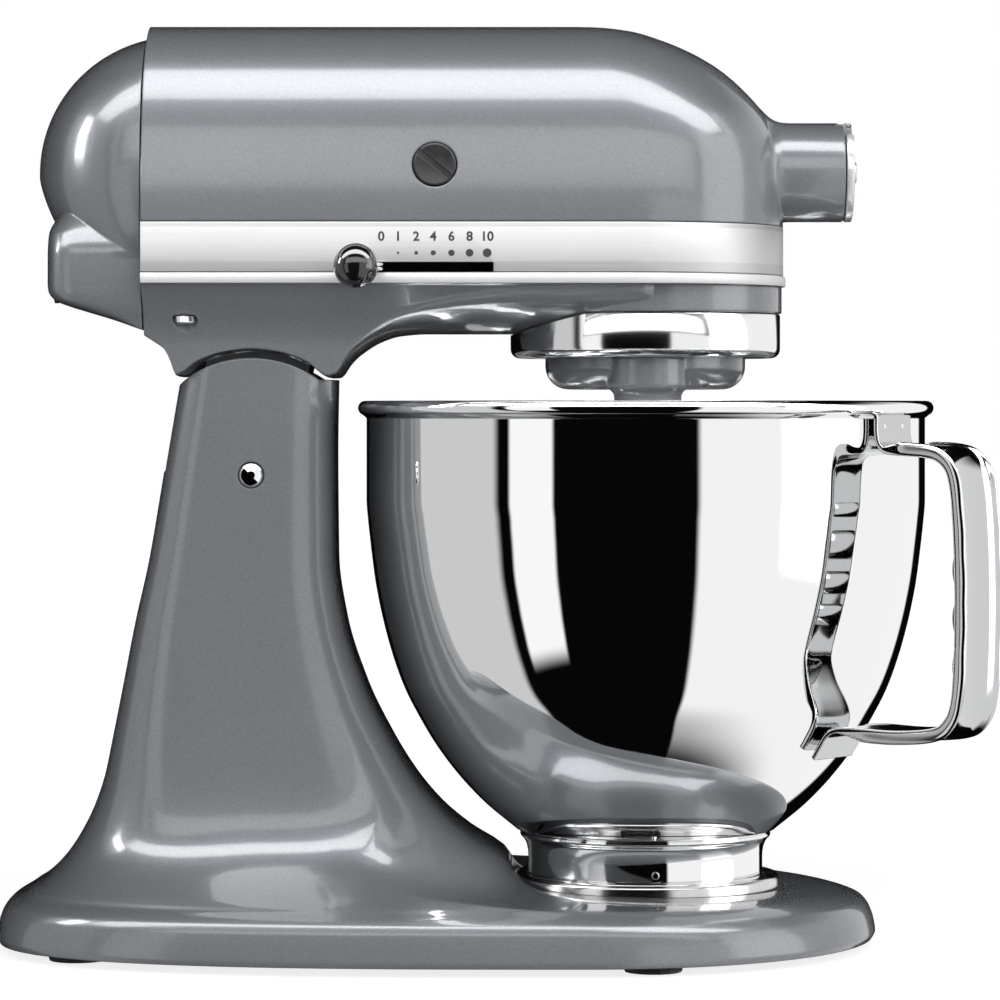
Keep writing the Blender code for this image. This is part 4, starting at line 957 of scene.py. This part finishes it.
for label, x, dot in MARKS:
    text = bpy.data.curves.new("mark_" + label, "FONT")
    text.body = label
    text.size = 4.9 * MM
    text.extrude = 0.04 * MM
    text.align_x = "CENTER"
    text.offset = 0.12 * MM
    digit = bpy.data.objects.new("mark_" + label, text)
    scene.collection.objects.link(digit)
    digit.rotation_euler = (radians(90), 0, 0)
    digit.location = ((x + BOWL_AXIS_X) * MM, (MARK_Y - 0.04) * MM, DIGIT_Z * MM)
    riding(digit, "head", INK)
    if dot:
        shape = rod("Y", MARK_Y - 0.08, MARK_Y + 0.04, dot / 2, (x, 0, DOT_Z), 40)
        small_piece("dot_" + label, shape, "head", INK)

# Planetary hub, drip ring, hub cover

PLANET_OFFSET = 29.25
BOSS = (0, -PLANET_OFFSET, 0)
drip = [(49.3, FRONT_BOTTOM - 0.4), (51.9, FRONT_BOTTOM - 0.4), (52.3, FRONT_BOTTOM - 0.9), (52.3, 231.5)]
turns = [radians(a) for a in (-10, -25, -40, -55, -70, -85)]
drip += [(48.8 + 3.5 * cos(a), 230.2 + 3.5 * sin(a)) for a in turns]
drip += [(44.5, 226.7), (44.5, 228.3), (48.4, 228.5), (49.3, 229.6)]
arm_clearance = arm_shape(0.5, 6.0)
piece("drip_collar", "drip_ring", SATIN, turned("Z", drip, count=192), ("cut", arm_clearance), sharp=40)

hub_profile = [(12, 214.6), (29, 214.6)]
hub_profile += [(29.8 + 9 * cos(radians(a)), 223.6 + 9 * sin(radians(a))) for a in range(-85, 1, 10)]
hub_profile += [(38.8, 228.8), (38.2, 229.5), (14, 229.5)]
boss_profile = [(12.2, 204.0), (12.8, 204.6), (12.8, 212.0), (13.4, 213.4), (15.4, 215.2), (15.4, 227)]
piece(
    "planetary_casting",
    "planetary_hub",
    PAINT,
    stepped("Z", hub_profile, count=128),
    ("add", stepped("Z", boss_profile, BOSS)),
    ("cut", rod("Z", 200, 232, 6.0, BOSS)),
    ("cut", rod("Z", 210, 232, 6.35)),
    remesh=0.6,
)

lid_steps = [(HUB_RADIUS - 0.4, HUB_FACE_X + 0.4), (HUB_RADIUS, HUB_FACE_X + 0.8), (HUB_RADIUS, 79.5)]
lid_steps += [(HUB_RADIUS - 0.15, 79.85), (HUB_RADIUS - 0.6, 80.0), (12.0, 80.4), (4.4, 80.5), (4.2, 81.6)]
lid_steps += [(3.6, 82.0), (1.0, 82.1)]
piece(
    "hub_lid_disc",
    "hub_cover",
    LID,
    stepped("X", lid_steps, APEX, 128),
    ("cut", box((70, 4.4, 312.8), (90, 20, 325))),
    ("cut", box((70, -20, 312.8), (90, -4.4, 325))),
    ("cut", rod("Y", -20, 20, 1.1, HUB_HINGE, 24)),
)

# Brush caps, lever and knobs


def cap_slot(side):
    """The screwdriver slot across a brush cap."""
    points, faces = box((-9, -1.1, -1), (9, 1.1, 1))
    lean = radians(-39)
    moved = []
    for along, height, depth in points:
        x = BRUSH_X + along * cos(lean) - height * sin(lean)
        z = MOTOR_Z + along * sin(lean) + height * cos(lean)
        moved.append((x, side * HEAD_HALF_WIDTH + depth, z))
    return moved, faces


CAP_PROFILE = ((8.1, 54.5), (8.1, 59.2), (7.9, 59.6), (7.3, 59.85), (6.9, 59.7), (1, 59.7))
for name, side in (("near", -1), ("far", 1)):
    cap = stepped("Y", [(radius, side * y) for radius, y in CAP_PROFILE], (BRUSH_X, 0, MOTOR_Z))
    piece(f"cap_{name}", f"brush_cap_{name}", DARK, cap, ("cut", cap_slot(side)))

knob_centre = Vector((LEVER_X - 8.9, -76.0, LEVER_Z))
lever_path = [Vector((LEVER_X, y, LEVER_Z)) for y in (-44.5, -55, -60)]
lever_bend = ((0.2, -63), (1.2, -66), (3.2, -69.5), (5.8, -72.5))
lever_path += [Vector((LEVER_X - aside, y, LEVER_Z)) for aside, y in lever_bend]


def bent_rod(path, radius):
    """A round rod along a level path."""
    count = 28
    rings = []
    for k, point in enumerate(path):
        heading = path[min(k + 1, len(path) - 1)] - path[max(k - 1, 0)]
        across = Vector((-heading.y, heading.x, 0)).normalized()
        ring = []
        for j in range(count):
            turn = 2 * pi * j / count
            ring.append(tuple(point + across * radius * cos(turn) + Vector((0, 0, radius * sin(turn)))))
        rings.append(ring)
    return loft(rings)


def ball(centre, radius):
    turns = [pi * k / 40 for k in range(41)]
    return stepped("Z", [(max(0.02, radius * sin(a)), -radius * cos(a)) for a in turns], centre, 64)


piece("lever_rod", "speed_lever", CHROME, bent_rod(lever_path, 1.5))
facet = knob_centre + Vector((11.5, 3.0, 1.5))
stem_hole = bent_rod([lever_path[-2], lever_path[-1] + (lever_path[-1] - lever_path[-2]) * 0.4], 1.9)
knob_cuts = (("cut", ball(facet, 7.0)), ("cut", stem_hole))
piece("lever_ball", "speed_knob", BLACK, ball(knob_centre, 8.45), *knob_cuts, sharp=45)

THUMBSCREW_PROFILE = (
    (2.9, 12.0),
    (2.9, 46.5),
    (6.0, 46.7),
    (11.7, 47.9),
    (12.5, 48.8),
    (12.5, 56.6),
    (12.0, 58.2),
    (10.5, 59.0),
    (2.0, 59.2),
)
knob_rings = []
for radius, y in THUMBSCREW_PROFILE:
    ring = []
    for k in range(144):
        angle = 2 * pi * k / 144
        grip = 0.45 * cos(12 * angle) if radius > 11 else 0.0
        x = THUMBSCREW_X + (radius + grip) * cos(angle)
        ring.append((x, y, MOTOR_Z + (radius + grip) * sin(angle)))
    knob_rings.append(ring)
piece("thumbscrew", "attachment_knob", BLACK, loft(knob_rings), sharp=50)

# Bowl, foot, plate and handle

RIM_RADIUS, BOWL_RADIUS, BOWL_TOP, BOWL_WALL = 111.5, 108.2, 210.2, 1.5
# the wall's outer radius and height, from under the rim down
BOWL_OUTSIDE = (
    (BOWL_RADIUS, 203.5),
    (BOWL_RADIUS, 172.0),
    (107.6, 164.0),
    (106.4, 153.0),
    (105.0, 142.0),
    (103.0, 131.0),
    (100.4, 120.0),
    (97.3, 109.5),
    (93.4, 99.0),
    (87.8, 88.0),
    (81.2, 77.0),
    (73.0, 66.0),
    (62.7, 55.0),
    (50.1, 44.5),
)


def bowl_profile():
    """The wall from the middle of the floor up the outside, over the rim and down the inside."""
    heights = between([z for _, z in reversed(BOWL_OUTSIDE)], 2.0)
    wall = [(radius, z) for z, radius in spline([(z, r) for r, z in BOWL_OUTSIDE], heights)]
    floor = [(2.0, 40.8), (30.0, 40.8), (40.0, 41.0), (45.0, 42.0)]
    outside = floor + wall
    inside = []
    for k, (radius, z) in enumerate(outside):
        before, after = outside[max(k - 1, 0)], outside[min(k + 1, len(outside) - 1)]
        run, rise = after[0] - before[0], after[1] - before[1]
        length = hypot(run, rise)
        inside.append((max(0.5, radius - rise / length * BOWL_WALL), z + run / length * BOWL_WALL))
    middle, roll = RIM_RADIUS - 2.8, 2.8
    rim = [(middle + roll * cos(a / 10), BOWL_TOP - roll + roll * sin(a / 10)) for a in range(-12, 27, 2)]
    return outside + rim + list(reversed(inside))


rings = [circle("Z", z, radius, count=224) for radius, z in bowl_profile()]
piece("bowl_shell", "mixing_bowl", CHROME, loft(rings), sharp=40)

GAP_ANGLES = [radians(a) for a in (25, 145, 265)]
foot_profile = [(FOOT_RADIUS - 1.5, 22.7), (FOOT_RADIUS - 0.3, 22.7)]
foot_profile += [(FOOT_RADIUS, 23.0), (FOOT_RADIUS, 34.0)]
turns = [radians(a) for a in (15, 30, 45, 60, 72)]
foot_profile += [(FOOT_RADIUS + 4.0 * (1 - cos(a)), 34.0 + 8.0 * sin(a)) for a in turns]
foot_profile += [(48.6, 42.4), (48.4, 43.2), (47.4, 43.4), (46.2, 42.6), (44.6, 40.0)]
foot_profile += [(FOOT_RADIUS - 1.5, 35.0)]
foot_steps = []
for angle in GAP_ANGLES:
    lug = box((FOOT_RADIUS - 1.0, -6, 23.2), (FOOT_RADIUS + 1.2, 6, 25.4))
    foot_steps.append(("add", turned_about_z(lug, angle - radians(25))))
    dimple = rod("X", 44.6, 46.6, 1.3, (0, 0, 30.5), 24)
    foot_steps.append(("add", turned_about_z(dimple, angle - radians(112))))
piece("foot_collar", "bowl_foot", CHROME, turned("Z", foot_profile, count=160), *foot_steps, sharp=40)

plate_profile = (
    (10.0, PLATE_Z),
    (PLATE_RADIUS - 0.3, PLATE_Z),
    (PLATE_RADIUS, PLATE_Z + 0.3),
    (PLATE_RADIUS, PLATE_TOP - 2.2),
    (PLATE_RADIUS - 0.3, PLATE_TOP - 1.2),
    (PLATE_RADIUS - 1.2, PLATE_TOP - 0.35),
    (PLATE_RADIUS - 2.4, PLATE_TOP),
    (FOOT_RADIUS + 0.9, PLATE_TOP),
    (FOOT_RADIUS + 0.6, PLATE_TOP - 0.3),
    (FOOT_RADIUS + 0.6, PLATE_TOP - 1.4),
    (PLATE_RADIUS - 4.5, PLATE_TOP - 1.4),
    (PLATE_RADIUS - 4.5, PLATE_Z + 1.5),
    (10.0, PLATE_Z + 1.5),
)
plate_steps = [("cut", rod("Z", 15, 30, 2.6, (x, y, 0), 24)) for x, y in CLAMP_SCREWS]
for angle in GAP_ANGLES:
    notch = box((40, -9.5, PLATE_TOP - 2.0), (PLATE_RADIUS - 3.8, 9.5, PLATE_TOP + 2))
    plate_steps.append(("cut", turned_about_z(notch, angle)))
plate = turned("Z", plate_profile, count=160)
piece("clamp_ring", "bowl_clamp_plate", STAINLESS, plate, *plate_steps, sharp=40)

HANDLE_DIRECTION = radians(-35)
STRAP_HALF_WIDTH, TAB_NARROWER = 14.5, 2.0
# the upright grip: least distance from the axis, and lowest and highest point
GRIP_REACH, GRIP_LOW, GRIP_HIGH = 139, 96, 184
LIP_WAVE, LIP_WAVE_LENGTH = 0.15, 17.6
STRAP_MIDDLE_Z = 150
# distance from the bowl's axis, and height
HANDLE_PATH = (
    (110.1, 205.0),
    (110.1, 197.5),
    (111.6, 193.4),
    (115.5, 191.3),
    (131.5, 190.3),
    (138.6, 187.6),
    (142.4, 181.0),
    (144.3, 165.0),
    (145.2, 140.0),
    (144.8, 115.0),
    (143.5, 99.0),
    (140.2, 91.5),
    (134.0, 88.0),
    (118.0, 86.5),
    (100.0, 87.0),
    (93.0, 86.6),
    (89.4, 84.6),
    (86.6, 80.4),
    (83.6, 75.6),
)
# across the strap and outwards from it, as a share of its half width and in millimetres
STRAP_SECTION = (
    (-0.80, -1.0),
    (0.80, -1.0),
    (0.86, -3.4),
    (0.93, -4.2),
    (1.0, -3.4),
    (1.0, -0.6),
    (0.97, 0.7),
    (0.90, 1.5),
    (0.80, 1.2),
    (0.66, 0.75),
    (-0.66, 0.75),
    (-0.80, 1.2),
    (-0.90, 1.5),
    (-0.97, 0.7),
    (-1.0, -0.6),
    (-1.0, -3.4),
    (-0.93, -4.2),
    (-0.86, -3.4),
)


def smooth_path(path):
    """A Catmull-Rom curve through the path's points."""
    parts = 7
    made = []
    for k in range(len(path) - 1):
        p0, p1 = path[max(k - 1, 0)], path[k]
        p2, p3 = path[k + 1], path[min(k + 2, len(path) - 1)]
        for j in range(parts):
            t = j / parts
            point = []
            for a, b, c, d in zip(p0, p1, p2, p3):
                square, cube = 2 * a - 5 * b + 4 * c - d, 3 * b - a - 3 * c + d
                point.append(0.5 * (2 * b + (c - a) * t + square * t * t + cube * t**3))
            made.append(tuple(point))
    return made + [path[-1]]


def strap_rings():
    """Sections of the strap: its lips fade out at the tabs and are slightly wavy at the grip."""
    path = smooth_path(HANDLE_PATH)
    rings = []
    for k, (reach, z) in enumerate(path):
        before, after = path[max(k - 1, 0)], path[min(k + 1, len(path) - 1)]
        run, rise = after[0] - before[0], after[1] - before[1]
        length = hypot(run, rise)
        out = (-rise / length, run / length)
        in_grip = reach > GRIP_REACH and GRIP_LOW < z < GRIP_HIGH
        upper = z > STRAP_MIDDLE_Z
        lips = min(1.0, max(0.0, (reach - 112) / 8 if upper else (reach - 95) / 10))
        half = STRAP_HALF_WIDTH - TAB_NARROWER * (1 - lips) * (1 if upper else 0.2)
        ring = []
        for across, outwards in STRAP_SECTION:
            depth = outwards if outwards > -1.01 else -1.0 + (outwards + 1.0) * lips
            if in_grip and outwards < -3.0:
                depth += LIP_WAVE * sin(2 * pi * (z - GRIP_LOW) / LIP_WAVE_LENGTH)
            ring.append((reach - out[0] * depth, across * half, z - out[1] * depth))
        rings.append(ring)
    return rings


BUMP_REACH, BUMP_RISE, BUMP_HALF_HEIGHT, BUMP_HALF_WIDTH = 144.4, 2.2, 6.4, 11.6
BUMP_HEIGHTS = (112.0, 130.0, 148.0, 166.0)


def finger_bump(z):
    """A low rounded ridge across the inside of the strap."""
    turns = [radians(-90 + 180 * k / 16) for k in range(17)]
    outline = [(BUMP_REACH - BUMP_RISE * cos(a), z + BUMP_HALF_HEIGHT * sin(a)) for a in turns]
    return turned_about_z(prism("Y", outline, -BUMP_HALF_WIDTH, BUMP_HALF_WIDTH), HANDLE_DIRECTION)


strap = turned_about_z(loft(strap_rings()), HANDLE_DIRECTION)
piece("handle_strap", "bowl_handle", STRAP, strap, sharp=60, levels=1)
for number, z in enumerate(BUMP_HEIGHTS, 1):
    small_piece(f"finger_bump_{number}", finger_bump(z), "bowl", STRAP)
for number, across in enumerate((-6.5, 6.5), 1):
    shape = turned_about_z(rod("X", 110.4, 111.05, 0.75, (0, across, 200.6), 32), HANDLE_DIRECTION)
    small_piece(f"weld_spot_{number}", shape, "bowl", SATIN)

# Floor

floor = bpy.data.objects.new("floor", bpy.data.meshes.new("floor"))
scene.collection.objects.link(floor)
FLOOR_CORNERS = [(-6, -6, 0), (6, -6, 0), (6, 6, 0), (-6, 6, 0)]
floor.data.from_pydata(FLOOR_CORNERS, [], [(0, 1, 2, 3)])
made, n, shader = new_material("pale_floor")
shader.inputs["Base Color"].default_value = (0.5, 0.5, 0.5, 1)
shader.inputs["Roughness"].default_value = 0.9
shader.inputs["Specular IOR Level"].default_value = 0.0
shader.inputs["Emission Color"].default_value = (1, 1, 1, 1)
seen = n.add("ShaderNodeLightPath").outputs["Is Camera Ray"]
n.put(shader.inputs["Emission Strength"], n.ramp(seen, 0.0, 1.0, FLOOR_GLOW, FLOOR_SEEN))
floor.data.materials.append(made)
floor.visible_glossy = False
